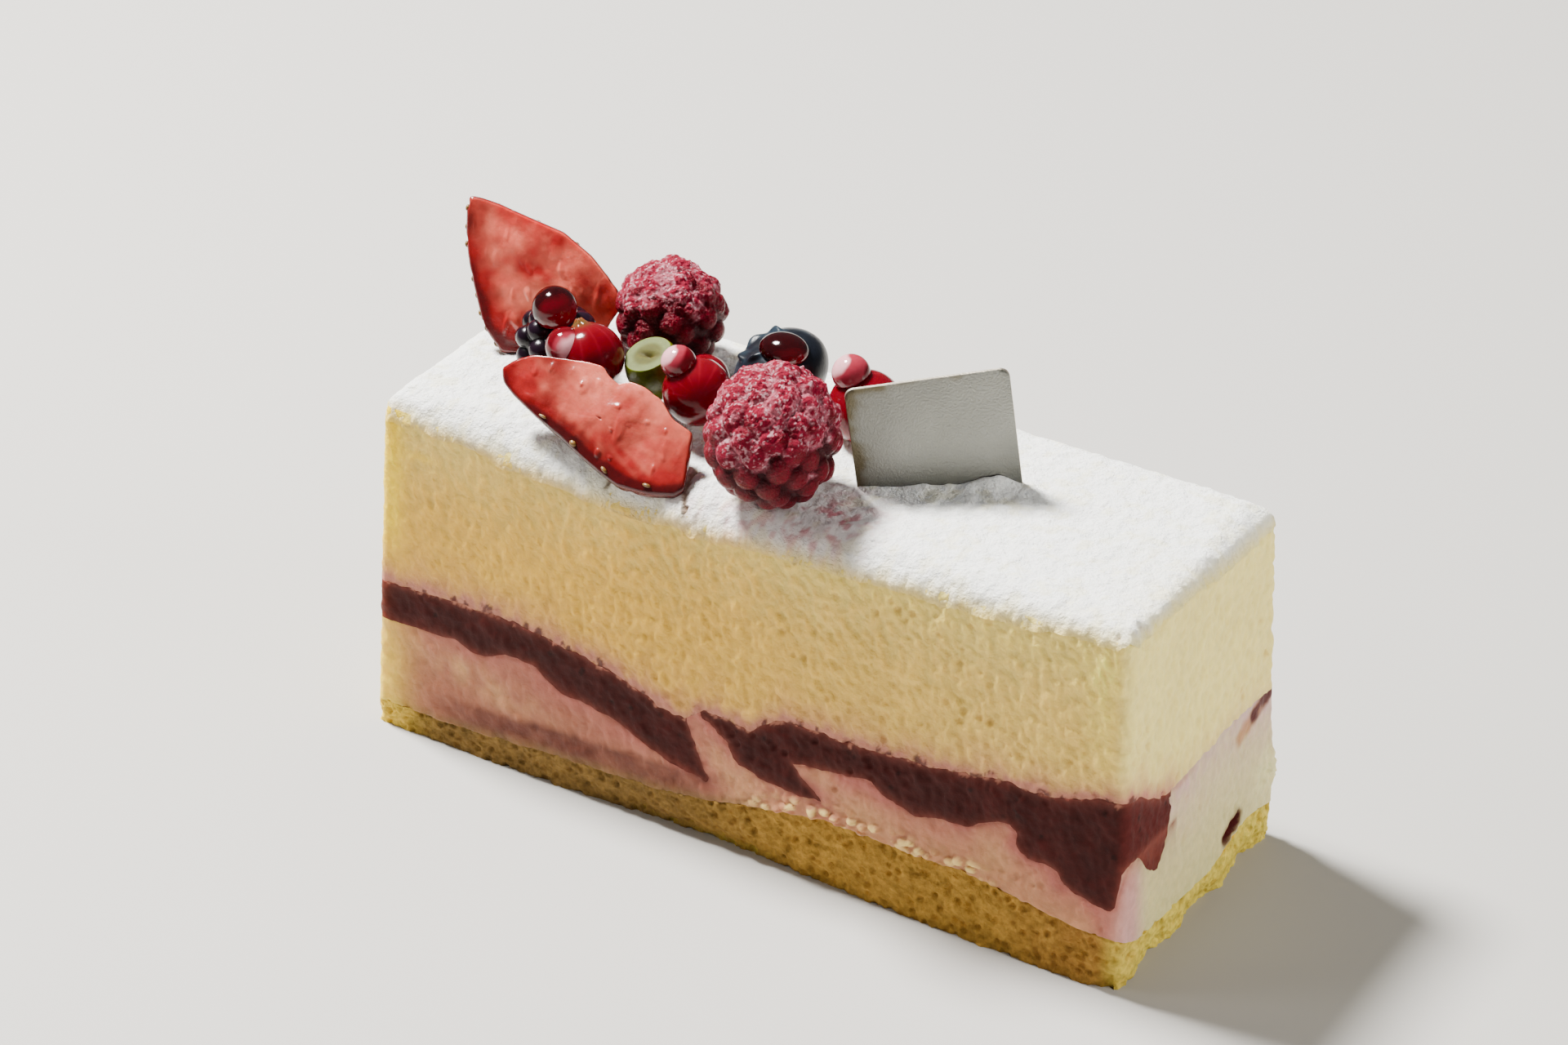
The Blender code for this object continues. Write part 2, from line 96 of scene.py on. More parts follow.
# %% Numbers on a lattice
def hashed(i, j, k, seed):
    """A number 0..1 for each lattice point: indices times large primes, mixed by shifts."""
    h = i.astype(np.uint32) * np.uint32(73856093)
    h = h ^ (j.astype(np.uint32) * np.uint32(19349663))
    h = h ^ (k.astype(np.uint32) * np.uint32(83492791))
    h = h + np.uint32((seed * 374761393 + 668265263) % 4294967296)
    h = (h ^ (h >> np.uint32(13))) * np.uint32(1274126177)
    h = (h ^ (h >> np.uint32(16))) * np.uint32(2246822519)
    return ((h ^ (h >> np.uint32(15))) & np.uint32(0xFFFFFF)) / float(0xFFFFFF)


print("three lattice numbers:", hashed(*np.arange(9).reshape(3, 3), 1).round(3))

# %% Smooth noise between them
LATTICE_SHIFT = 1000.0  # keeps every index above zero


def noise(p, size, seed=0):
    """Field -1..1: lattice numbers every size mm, blended along each axis by 3t^2 - 2t^3."""
    q = p / np.asarray(size, float) + LATTICE_SHIFT
    i = np.floor(q).astype(np.int64)
    f = q - i
    f = f * f * (3 - 2 * f)
    out = 0.0
    for dx in (0, 1):
        for dy in (0, 1):
            for dz in (0, 1):
                w = f[..., 0] if dx else 1 - f[..., 0]
                w = w * (f[..., 1] if dy else 1 - f[..., 1])
                w = w * (f[..., 2] if dz else 1 - f[..., 2])
                out = out + w * hashed(i[..., 0] + dx, i[..., 1] + dy, i[..., 2] + dz, seed)
    return 2 * out - 1


def rough(p, size, octaves=3, seed=0):
    """Sum of noise at size, size/2, size/4..., each half as strong as the one before."""
    size = np.asarray(size, float)
    return sum(noise(p, size / 2 ** n, seed + 17 * n) * 0.5 ** n for n in range(octaves))


print("noise at three points:", noise(7.0 * np.eye(3), 5.0).round(2))

# %% [markdown]
# Pores, dimples and crumbs are round things packed at random. One random point in each small
# cube gives such a packing, and a place lies in a pore where the nearest of them is close.
# Noise could make blotches, but not round ones of one size.

# %% Random cells
def cells(p, size, seed=0):
    """Distance to the nearest of one random point in each cube of side size, in cubes."""
    q = p / float(size) + LATTICE_SHIFT
    i = np.floor(q).astype(np.int64)
    best = np.full(q.shape[:-1], 9.0)
    for dx in (-1, 0, 1):
        for dy in (-1, 0, 1):
            for dz in (-1, 0, 1):
                c = i + np.array([dx, dy, dz])
                d = 0.0
                for axis in range(3):
                    at = c[..., axis] + hashed(c[..., 0], c[..., 1], c[..., 2], seed + 5 * axis)
                    d = d + (q[..., axis] - at) ** 2
                best = np.minimum(best, d)
    return np.sqrt(best)


print("nearest cell points:", cells(7.0 * np.eye(3), 2.0).round(2))

# %% [markdown]
# Every piece is built from closed rings: a stack of loops with the same number of points, and
# one point that closes each end. It suits blocks, balls and berries alike, leaves no open seam,
# and is filled with whole arrays. Primitives and modifiers would need merging and more steps.

# %% Faces of a stack of rings
def ring_faces(rows, cols):
    """Quads between neighbouring loops, and a fan of triangles at each end point."""
    r = np.arange(rows - 1)[:, None] * cols
    a = np.arange(cols)[None, :]
    b = (a + 1) % cols
    quads = np.stack([r + a, r + b, r + cols + b, r + cols + a], -1).reshape(-1, 4)
    low, high = rows * cols, rows * cols + 1
    a, b = a[0], b[0]
    top = (rows - 1) * cols
    tris = np.vstack([np.stack([b, a, np.full(cols, low)], 1),
                      np.stack([top + a, top + b, np.full(cols, high)], 1)])
    return quads, tris


print("faces of a stack of 3 rings of 4:", [len(f) for f in ring_faces(3, 4)])

# %% [markdown]
# A mesh has to face outwards, or its shading and its export come out wrong. The signed volume
# tells which way it faces, whatever order its rings were made in: it is negative for a body
# turned inside out, and such a body gets its faces reversed.

# %% Points and faces into a mesh
def volume(verts, tris):
    """Signed volume: a sixth of the sum of a . (b x c) over the triangles."""
    a, b, c = verts[tris[:, 0]], verts[tris[:, 1]], verts[tris[:, 2]]
    return float((a * np.cross(b, c)).sum() / 6.0)


def mesh_of(name, verts, quads, tris):
    """Mesh from millimetre points; a body that measures inside out is turned."""
    split = np.vstack([quads[:, [0, 1, 2]], quads[:, [0, 2, 3]], tris])
    if volume(verts, split) < 0:
        quads, tris = quads[:, ::-1], tris[:, ::-1]
    mesh = bpy.data.meshes.new(name)
    mesh.vertices.add(len(verts))
    mesh.vertices.foreach_set("co", (verts * MM).astype(np.float32).ravel())
    corners = np.concatenate([quads.ravel(), tris.ravel()]).astype(np.int32)
    mesh.loops.add(len(corners))
    mesh.loops.foreach_set("vertex_index", corners)
    starts = np.concatenate([np.arange(len(quads)) * 4, len(quads) * 4 + np.arange(len(tris)) * 3])
    mesh.polygons.add(len(starts))
    mesh.polygons.foreach_set("loop_start", starts.astype(np.int32))
    mesh.update(calc_edges=True)
    return mesh


def ring_mesh(name, rings, low, high):
    """Mesh of a (rows, cols, 3) stack of loops closed by the points low and high."""
    verts = np.vstack([rings.reshape(-1, 3), low, high])
    return mesh_of(name, verts, *ring_faces(rings.shape[0], rings.shape[1]))


# The three faces of a cube's corner that meet at the origin add nothing, so one is enough.
print("volume of a unit cube's corner:", round(volume(np.eye(3), np.array([[0, 1, 2]])), 4))

# %% [markdown]
# Colour is painted on the points of a mesh, as an attribute named tint. An image would need an
# unwrapped surface, and a node pattern couldn't follow the layers' own lines, while a formula of
# place can. The alpha of the tint is free, so it keeps how dry the surface is.

# %% Read the points and paint them
def points_of(mesh):
    """The mesh's points in millimetres."""
    co = np.empty(len(mesh.vertices) * 3, np.float32)
    mesh.vertices.foreach_get("co", co)
    return co.reshape(-1, 3).astype(float) / MM


def paint(mesh, colour, dry=1.0):
    """Stores one linear colour a point as the attribute tint, and in its alpha how dry it is."""
    rgba = np.ones((len(mesh.vertices), 4), np.float32)
    rgba[:, :3] = np.clip(colour, 0.0, 1.0)
    rgba[:, 3] = dry
    layer = mesh.color_attributes.new("tint", "FLOAT_COLOR", "POINT")
    layer.data.foreach_set("color", rgba.ravel())


trial = mesh_of("trial", 2.0 * np.eye(3), np.zeros((0, 4), int), np.array([[0, 1, 2]]))
paint(trial, np.full((3, 3), 0.5))
print("three trial points:", points_of(trial).round(2).tolist(), trial.color_attributes.keys())
bpy.data.meshes.remove(trial)

# %% [markdown]
# Each finished mesh takes the place of the CAD nodes it stands for: they are hidden, and the
# mesh goes into the body root with its own finish. Shading is smooth, except across edges
# sharper than an angle, which keeps the true edges of a layer crisp.

# %% Show a piece in the place of its CAD nodes
def show(name, mesh, finish, nodes, sharp=None):
    """Puts a mesh in the place of its CAD nodes; edges past sharp degrees stay crisp."""
    mesh.polygons.foreach_set("use_smooth", np.ones(len(mesh.polygons), bool))
    if sharp:
        mesh.set_sharp_from_angle(angle=np.radians(sharp))
    mesh.materials.clear()
    mesh.materials.append(finish)
    piece = bpy.data.objects.new(name, mesh)
    bpy.context.scene.collection.objects.link(piece)
    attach(piece, "root")
    if nodes:
        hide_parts(*nodes)
    print(name, len(mesh.polygons), "faces")


# %% [markdown]
# One material recipe serves all the food. The painted tint gives the colour, and fine noise on
# Object coordinates varies it a little, as fat, air and fibre do. One or two bumps add the grain
# that is finer than the mesh.

# %% Colour of a food finish
def varied_tint(tree, tint, where, size, strength):
    """Socket of the tint times 1 - strength .. 1 + strength, by noise of the given size in mm."""
    speckle = tree.nodes.new("ShaderNodeTexNoise")
    speckle.inputs["Scale"].default_value = 1000.0 / size
    speckle.inputs["Detail"].default_value = 4.0
    tree.links.new(where.outputs["Object"], speckle.inputs["Vector"])
    share = tree.nodes.new("ShaderNodeMapRange")
    share.inputs["From Min"].default_value = 0.3
    share.inputs["From Max"].default_value = 0.7
    share.inputs["To Min"].default_value = 1.0 - strength
    share.inputs["To Max"].default_value = 1.0 + strength
    tree.links.new(speckle.outputs["Fac"], share.inputs["Value"])
    mixed = tree.nodes.new("ShaderNodeVectorMath")
    mixed.operation = "SCALE"
    tree.links.new(tint.outputs["Color"], mixed.inputs[0])
    tree.links.new(share.outputs["Result"], mixed.inputs["Scale"])
    return mixed.outputs["Vector"]


print("noise of 0.6 mm has the scale", round(1000.0 / 0.6), "because Object coordinates are metres")

# %% Grain of a food finish
def grained(tree, where, grain):
    """Socket of a chain of bumps, one for each (size mm, height mm, kind of texture)."""
    last = None
    for size, height, kind in grain:
        if kind == "pores":
            texture = tree.nodes.new("ShaderNodeTexVoronoi")
            out = texture.outputs["Distance"]
        else:
            texture = tree.nodes.new("ShaderNodeTexNoise")
            texture.inputs["Detail"].default_value = 5.0
            texture.inputs["Roughness"].default_value = 0.6
            out = texture.outputs["Fac"]
        texture.inputs["Scale"].default_value = 1000.0 / size
        tree.links.new(where.outputs["Object"], texture.inputs["Vector"])
        bump = tree.nodes.new("ShaderNodeBump")
        bump.inputs["Strength"].default_value = 1.0
        bump.inputs["Distance"].default_value = height * MM
        tree.links.new(out, bump.inputs["Height"])
        if last:
            tree.links.new(last, bump.inputs["Normal"])
        last = bump.outputs["Normal"]
    return last


print("a grain 0.2 mm high has the bump distance", 0.2 * MM, "m")

# %% [markdown]
# Cream, mousse and fruit let light in, so they get subsurface scattering: its weight, how far
# red, green and blue travel, and the depth in mm. Where one fruit is partly wet, its roughness
# runs with the tint's dryness. Only the strawberries get a coat, for their film of juice.

# %% The recipe
def finish_of(name, roughness, grain=(), vary=(0.6, 0.06), sss=0.0, radius=(1.0, 0.5, 0.3),
              depth_mm=2.0, coat=0.0, specular=0.5, wet=None):
    """Principled food material; with wet given, roughness runs from wet to its dry value."""
    finish = bpy.data.materials.new(name)
    finish.use_nodes = True
    tree = finish.node_tree
    shader = tree.nodes["Principled BSDF"]
    where = tree.nodes.new("ShaderNodeTexCoord")
    tint = tree.nodes.new("ShaderNodeAttribute")
    tint.attribute_name = "tint"
    tree.links.new(varied_tint(tree, tint, where, *vary), shader.inputs["Base Color"])
    if grain:
        tree.links.new(grained(tree, where, grain), shader.inputs["Normal"])
    shader.inputs["Roughness"].default_value = roughness
    if wet is not None:
        dryness = tree.nodes.new("ShaderNodeMapRange")
        dryness.inputs["To Min"].default_value = wet
        dryness.inputs["To Max"].default_value = roughness
        tree.links.new(tint.outputs["Alpha"], dryness.inputs["Value"])
        tree.links.new(dryness.outputs["Result"], shader.inputs["Roughness"])
    shader.inputs["Specular IOR Level"].default_value = specular
    shader.inputs["Subsurface Weight"].default_value = sss
    shader.inputs["Subsurface Radius"].default_value = radius
    shader.inputs["Subsurface Scale"].default_value = depth_mm * MM
    shader.inputs["Coat Weight"].default_value = coat
    shader.inputs["Coat Roughness"].default_value = 0.08
    return finish


trial = finish_of("trial", 0.5, [(1.0, 0.1, "noise")])
print("nodes of a finish with one grain:", trial.node_tree.nodes.keys())
bpy.data.materials.remove(trial)

# %% [markdown]
# The layers differ mostly in how they take light. Cream and mousse are soft satins that glow a
# little, the dark mousse hardly lets light in, sponge is a dull open crumb, and sugar is a matt
# powder with a coarse grain.

# %% Finishes of the layers
cream_finish = finish_of(
    "cream", 0.55, [(0.6, 0.20, "noise"), (1.7, 0.22, "noise")], (1.2, 0.07),
    sss=0.22, radius=(1.0, 0.7, 0.3), depth_mm=1.2, specular=0.25)
mousse_finish = finish_of(
    "pink_mousse", 0.55, [(0.7, 0.16, "noise")], (1.1, 0.09),
    sss=0.3, radius=(1.0, 0.5, 0.35), depth_mm=1.4, specular=0.2)
dark_finish = finish_of(
    "dark_mousse", 0.6, [(0.6, 0.08, "noise")], (0.9, 0.16), specular=0.10)
sponge_finish = finish_of(
    "sponge", 0.85, [(0.4, 0.25, "noise"), (1.0, 0.30, "pores")], (0.7, 0.22),
    sss=0.12, radius=(1.0, 0.6, 0.2), depth_mm=1.0, specular=0.1)
sugar_finish = finish_of(
    "sugar", 0.9, [(0.42, 0.34, "noise"), (1.2, 0.45, "noise")], (0.7, 0.05),
    sss=0.1, radius=(1.0, 0.9, 0.7), depth_mm=0.8, specular=0.2)
layer_finishes = (cream_finish, mousse_finish, dark_finish, sponge_finish, sugar_finish)
print("finishes of the layers:", [m.name for m in layer_finishes])

# %% [markdown]
# Fruit is glossier. Currants, bramble and glaze have a clear highlight, and the blueberry's is
# blurred by its bloom. The frosted raspberries and the cut green berry are matt where their
# tint's alpha says dry, and wet elsewhere.

# %% Finishes of the fruit
strawberry_finish = finish_of(
    "strawberry", 0.24, [(1.3, 0.10, "noise")], (0.7, 0.10),
    sss=0.35, radius=(1.0, 0.20, 0.12), depth_mm=2.0, coat=0.25, specular=0.4)
raspberry_finish = finish_of(
    "raspberry", 0.85, [(0.3, 0.30, "noise")], (0.25, 0.32),
    sss=0.10, radius=(1.0, 0.10, 0.14), depth_mm=0.6, specular=0.15, wet=0.25)
bramble_finish = finish_of(
    "bramble", 0.22, [(0.5, 0.03, "noise")], (0.5, 0.2), specular=0.3)
currant_finish = finish_of(
    "currant", 0.14, [(1.4, 0.03, "noise")], (1.5, 0.08),
    sss=0.35, radius=(1.0, 0.04, 0.06), depth_mm=2.2, specular=0.22)
glaze_finish = finish_of(
    "glaze", 0.08, [(1.2, 0.03, "noise")], (0.5, 0.05),
    sss=0.3, radius=(1.0, 0.25, 0.30), depth_mm=1.0, specular=0.4)
blueberry_finish = finish_of(
    "blueberry", 0.30, [(0.4, 0.03, "noise")], (0.6, 0.25), specular=0.25)
green_finish = finish_of(
    "green_berry", 0.80, [(0.5, 0.06, "noise")], (0.8, 0.12),
    sss=0.3, radius=(0.6, 1.0, 0.2), depth_mm=1.2, specular=0.3, wet=0.25)
seed_finish = finish_of("seeds", 0.4, [], (0.3, 0.15))
fruit_finishes = (strawberry_finish, raspberry_finish, bramble_finish, currant_finish,
                  glaze_finish, blueberry_finish, green_finish, seed_finish)
print("finishes of the fruit:", [m.name for m in fruit_finishes])

# %% [markdown]
# The outline of the block is walked once round, anticlockwise from above: four straight sides
# and four small round corners. The same walk, taken at each height, gives the rings of every
# layer, so neighbouring layers share their edge exactly. The sides that face the viewer get
# closer steps.

# %% Walk round the block
FINENESS = np.array([1.5, 1.3, 0.75, 0.85])  # front, right end, back, left end


def outline_walk(n, r=CORNER_R):
    """n steps round a rounded rectangle: corner-centre signs a, b and the outward direction."""
    hx, hy = HALF_X + 1.0, HALF_Y + 1.0
    arc = np.pi * r / 2
    lengths = np.array([2 * (hx - r), arc, 2 * (hy - r), arc] * 2)
    lengths = lengths * np.repeat(FINENESS, 2)
    ends = np.cumsum(lengths)
    s = np.arange(n) / n * ends[-1]
    leg = np.searchsorted(ends, s, side="right")
    f = (s - (ends - lengths)[leg]) / lengths[leg]
    a = np.array([-1, 1, 1, 1, 1, -1, -1, -1, -1])
    b = np.array([-1, -1, -1, 1, 1, 1, 1, -1, -1])
    g = np.radians([-90, -90, 0, 0, 90, 90, 180, 180, 270])
    along = lambda v: v[leg] * (1 - f) + v[leg + 1] * f
    return along(a), along(b), np.cos(along(g)), np.sin(along(g))


def wall(walk, z, push=0.0, r=CORNER_R):
    """Points of the leaning side at heights z, moved outwards by push."""
    a, b, nx, ny = walk
    lean = DRAFT * (1 - z / HEIGHT)
    x = a * (HALF_X + lean - r) + (r + push) * nx
    y = b * (HALF_Y + lean - r) + (r + push) * ny
    return np.stack([x + 0 * z, y + 0 * z, z + 0 * x], -1)


walk = outline_walk(steps(880))
print("steps round the block:", len(walk[0]))

# %% [markdown]
# The heights of the layers were read along the long cut side and the right end of the real
# slice. They are kept as short lines of places and heights and blended over the block, so that
# a layer that shows on one side runs right through to the other.

# %% Lines along the cut sides
BAND_TOP = np.array([
    (-56, 20.5), (-48.3, 20.8), (-44.3, 21.1), (-37.3, 21.4), (-30.3, 21.2), (-26.8, 20.8),
    (-21.7, 20.1), (-15.7, 18.9), (-13.2, 18.1), (-10.7, 17.0), (-8.2, 16.4), (-6.6, 16.6),
    (-4.0, 18.5), (-0.3, 18.4), (2.5, 17.9), (4.5, 19.6), (7, 21), (17, 21), (23.3, 21.6),
    (30, 22.3), (36.8, 23.5), (42.9, 23.5), (45.7, 24.3), (48.8, 25.4), (56, 25.8)])
SPONGE_TOP = np.array([
    (-56, 3.4), (-42, 3.5), (-35, 3.8), (-28.6, 4.4), (-22, 4.7), (-11, 5.2), (-3, 6.2),
    (1, 7.3), (7, 8.5), (13, 9.6), (18, 9.4), (26, 9.3), (31, 9.4), (40, 8.8), (45, 8.2),
    (50, 7.1), (56, 6.6)])
SPONGE_RIGHT = np.array([
    (-19, 7.6), (-14.7, 5.6), (-12, 5.3), (-6.7, 5.1), (-2.2, 5.0), (2.4, 4.8), (7, 5.8),
    (11.6, 6.7), (15.5, 6.1), (18.4, 5.2)])
SUGAR_DROP = np.array([
    (-52, 3.4), (-40, 3.8), (-32, 4.6), (-22, 5.2), (-12, 5.0), (-4, 5.0), (5, 4.6),
    (20, 4.0), (34, 3.2), (43, 2.4), (52, 1.9)])
print("the cream's underside runs from", BAND_TOP[:, 1].min(), "to", BAND_TOP[:, 1].max(), "mm up")

# %% Heights over the whole block
def band_top(x, y):
    """Underside of the cream: the front line, easing down towards the right end."""
    z = np.interp(x, BAND_TOP[:, 0], BAND_TOP[:, 1])
    z = z - 3.6 * smooth(x, 38, 51) * smooth(y, -18, -9)
    return z + 0.5 * np.sin(0.17 * x + 0.21 * (y + 18)) * smooth(y, -14, 2)


def sponge_top(x, y):
    """Top of the sponge: the front line, turning into the right end's own line."""
    z = np.interp(x, SPONGE_TOP[:, 0], SPONGE_TOP[:, 1])
    side = np.interp(y, SPONGE_RIGHT[:, 0], SPONGE_RIGHT[:, 1])
    w = smooth(x, 32, 51)
    back = 0.5 * np.sin(0.23 * x - 0.3 * y) * smooth(y, -12, 4) * (1 - w)
    return z * (1 - w) + side * w + back


print("sponge in the middle of the block:", sponge_top(np.array([0.0]), np.array([0.0])).round(2))

# %% [markdown]
# The top edge is soft: along the front the sugar rolls down 2 to 5 mm, and at the right end
# about 3. It is a quarter round whose radius changes along the edge, and two of them meet at a
# corner in a rounded square, x^5 + y^5. A Bevel modifier has one width, so a formula suits better.

# %% The softened top
def round_r(x, y):
    """Radius of the softened top edge: large along the front, small at the right end."""
    front = np.interp(x, SUGAR_DROP[:, 0], SUGAR_DROP[:, 1])
    rest = 2.4 + 0.9 * smooth(y, -10, 17)
    return front * (1 - smooth(y, -6, 6)) + rest * smooth(y, -6, 6)


def sag(x, y):
    """How far the front edge has settled under the fruit."""
    return 0.5 * bell(x, -12, 24) * (1 - smooth(y, -15, 2))


def crown(x, y, inset=0.0):
    """Top face: level in the middle, a quarter round of radius round_r at its edges."""
    r = np.maximum(round_r(x, y) - inset, 0.4)
    ex = np.maximum(0.0, 1 - (HALF_X - inset - np.abs(x)) / r)
    ey = np.maximum(0.0, 1 - (HALF_Y - inset - np.abs(y)) / r)
    e = np.minimum((ex ** 5 + ey ** 5) ** 0.2, 1.0)
    return HEIGHT - inset - sag(x, y) - r * (1 - np.sqrt(np.maximum(1 - e * e, 0.0)))


print("top at the middle:", crown(np.array([0.0]), np.array([0.0])).round(2))

# %% [markdown]
# The cut sides are not flat. The knife dragged the soft cream into shallow dimples under 1 mm
# wide, with a few open pores between them. That relief is one formula of place, used by all the
# soft layers, so it runs on across their edges. A real shape catches raking light, which a bump
# in the material alone would not.

# %% Relief of the cut sides
def strokes(p):
    """Upright dimples -1..1, under 1 mm wide and a little taller, leaning to one side."""
    q = p + np.stack([0.18 * p[..., 2], 0.18 * p[..., 2], 0 * p[..., 2]], -1)
    q = q + 0.5 * noise(p, 5.0, 2)[..., None]
    return 0.60 * noise(q, (0.85, 0.85, 1.25), 5) + 0.50 * noise(q, (0.45, 0.45, 0.7), 6)


def pits(p):
    """Open pores 0..1, in patches."""
    patch = smooth(noise(p, 8.0, 11), -0.1, 0.5) * (0.3 + 0.7 * smooth(p[..., 0], -25, 5))
    return smooth(0.30 - cells(p, 2.1, 9), 0.0, 0.14) * patch


def drag(p):
    """Outward push in mm: broad waves, dimples and pores, fainter to the left and below."""
    above = smooth(p[..., 2] - band_top(p[..., 0], p[..., 1]), -0.5, 2.5)
    depth = 0.31 * (0.5 + 0.5 * above) * (0.55 + 0.45 * smooth(p[..., 0], -35, -8))
    return 0.14 * noise(p, 11.0, 3) + depth * strokes(p) - 0.25 * pits(p)


side = wall(walk, np.full(len(walk[0]), 33.0))
print("relief half way up the cream:", drag(side).min().round(2), "to", drag(side).max().round(2), "mm")

# %% [markdown]
# A layer is one closed skin. Its rings run across its underside from the middle outwards, up its
# wall with the relief, and back over its top to the middle. The rings on the flat faces are the
# wall's own ring drawn in, so every ring has the same number of points.

# %% A layer as rings
INNER = [0.02, 0.2, 0.45, 0.7, 0.88, 0.97]  # shares of the plan for the rings on a flat face


def shrink_rings(edge, shares, height):
    """Rings inside the block: the edge's plan drawn in to each share, at height(x, y)."""
    xy = edge[None, :, :2] * np.array(shares)[:, None, None]
    return np.concatenate([xy, height(xy[..., 0], xy[..., 1])[..., None]], -1)


def layer_rings(walk, z_low, z_high, rows, relief, low_of, high_of):
    """A layer: rings across its underside, up its wall with relief, and back over its top."""
    v = np.linspace(0, 1, rows)[:, None]
    plain = wall(walk, z_low + v * (z_high - z_low))
    side = wall(walk, plain[..., 2], relief(plain))
    under = shrink_rings(side[0], INNER, low_of)
    over = shrink_rings(side[-1], INNER[::-1], high_of)
    middle = np.zeros((1, 2))
    low = np.array([[0, 0, low_of(*middle.T)[0]]])
    high = np.array([[0, 0, high_of(*middle.T)[0]]])
    return np.concatenate([under, side, over]), low, high


print("rings on each flat face:", len(INNER))

# %% [markdown]
# The upper cream is the thickest layer. It is pale yellow on the ends. The long side is painted
# warmer and darker, as painted shade, more so towards the left. The pores and the hollows of the
# strokes are painted darker too, as painted shade, and the strokes' crests lighter. Where light
# comes through the block it glows: lemon yellow at the left corner, paler at the right one and
# under the sugar. These glows are painted, because the studio light here has no sun behind the cake.

# %% Colours of the cream
CREAM = np.array([0.92, 0.755, 0.235])
# Painted shade: the long side's cream is darker and warmer than that of the ends.
CREAM_SHADED_FRONT = np.array([0.80, 0.465, 0.055])
CREAM_GLOW = np.array([1.0, 0.78, 0.15])
# Painted shade in the cream's pores.
CREAM_PORE_SHADE = np.array([0.55, 0.30, 0.05])
EDGE_GLOW = np.array([1.0, 0.68, 0.070])
LEMON = np.array([1.0, 0.66, 0.012])
STAIN = np.array([0.50, 0.195, 0.130])
BERRY = np.array([0.043, 0.0062, 0.0054])
LEMON_SPOT = (-45.3, 39.6)  # x and z of a yolk-yellow spot high on the left


def on_front(p):
    """1 on the long cut side that faces -Y, 0 elsewhere."""
    return smooth(-p[..., 1], 17.2, 18.4) * (1 - smooth(p[..., 0], 49.5, 52.3))


def inside_ends(p):
    """Distance in mm from the left end and from the right end of the leaning block."""
    half = HALF_X + DRAFT * (1 - p[..., 2] / HEIGHT)
    return half + p[..., 0], half - p[..., 0]


def glowing(colour, p, above):
    """The cream's colour with its glows; above is the height over the berry band."""
    x, y, z = p.T
    from_left, from_right = inside_ends(p)
    glow = 0.95 * bell(from_right, 3.0, 2.4) * bell(z, 41, 13) * on_front(p)
    glow = glow + 0.60 * smooth(z, 37.5, 43.0) * on_front(p) * smooth(x, -5, 25)
    glow = glow + 0.15 * smooth(noise(p, 3.5, 22), 0.3, 0.8) * (1 - on_front(p))
    colour = blend(colour, CREAM_GLOW, glow * 0.8)
    spot = 0.8 * bell(x, LEMON_SPOT[0], 2.0) * bell(z, LEMON_SPOT[1], 0.7) * on_front(p)
    edge = 1.15 * bell(from_left, 1.4, 2.2) * smooth(-y, 11, 18) * smooth(above, 0, 9)
    return blend(colour, LEMON, edge + spot)


print("the front's colour against the end's:", (CREAM_SHADED_FRONT / CREAM).round(2))

# %% [markdown]
# Juice from the berry band has stained the foot of the cream: a pink fringe that fades upwards
# by e to the minus height over reach, where the reach itself is random, and small dark flecks.
# On the right end the fringe is fainter.

# %% Colour of the cream
def stained(colour, p, above):
    """The cream's colour with the pink fringe and dark flecks over the berry band."""
    reach = 1.1 + 0.8 * (noise(p, (2.4, 2.4, 3.0), 23) + 1)
    ragged = 1.05 + 0.40 * noise(p, (1.0, 1.0, 1.4), 25)
    fringe = np.exp(-np.maximum(above - 0.4, 0) / reach) * ragged
    end = smooth(p[:, 0], 50.5, 52.0) * smooth(p[:, 1], -9.0, -5.0)
    colour = blend(colour, STAIN, fringe * (1 - 0.75 * end))
    fleck = smooth(rough(p, (0.9, 0.9, 1.2), 3, 27) - 0.55 * above, 0.05, 0.40)
    return blend(colour, BERRY * 1.6, 0.85 * fleck * (1 - end))


def cream_colour(p):
    """Pale cream, in painted shade on the long side, in the pores and along the strokes; painted glows
    at the edges; stained over the band.
    """
    above = p[:, 2] - band_top(p[:, 0], p[:, 1])
    # Painted shade on the long side, stronger towards the left.
    colour = blend(CREAM + 0 * p, CREAM_SHADED_FRONT, on_front(p) * (1 - 0.38 * smooth(p[:, 0], -20, 45)))
    colour = glowing(colour, p, above)
    # Painted shade of the relief: lighter where the strokes push the cream out, darker in their
    # hollows, with a little random tone besides.
    colour = colour * (1 + 0.09 * strokes(p) + 0.06 * noise(p, 6.0, 21))[:, None]
    # Painted shade in the open pores.
    return stained(blend(colour, CREAM_PORE_SHADE, 0.50 * pits(p)), p, above)


along_front = np.array([[-50.0, -19.0, 33.0], [0.0, -19.0, 33.0], [50.0, -19.0, 33.0]])
print("cream along the front:", cream_colour(along_front).round(2).tolist())

# %% [markdown]
# Neighbouring layers meet along one ragged line, so it is worked out once, on the walk itself.
# Between its wall and its top the cream then gets a few more rings, which roll its edge in
# under the sugar.

# %% Edges that the layers share
foot = wall(walk, np.full(len(walk[0]), 20.0))
z_band = band_top(foot[:, 0], foot[:, 1]) + 0.28 * rough(foot, 1.5, 3, 29)
z_sponge = sponge_top(foot[:, 0], foot[:, 1])
radius = round_r(foot[:, 0], foot[:, 1])
z_round = HEIGHT - sag(foot[:, 0], foot[:, 1]) - radius
print("band top:", z_band.min().round(1), "to", z_band.max().round(1), "mm")

# %% Build the upper cream
UNDER_SUGAR = 0.9  # how far the cream's top lies below the sugar's face, in mm
CREAM_ROWS = steps(80)

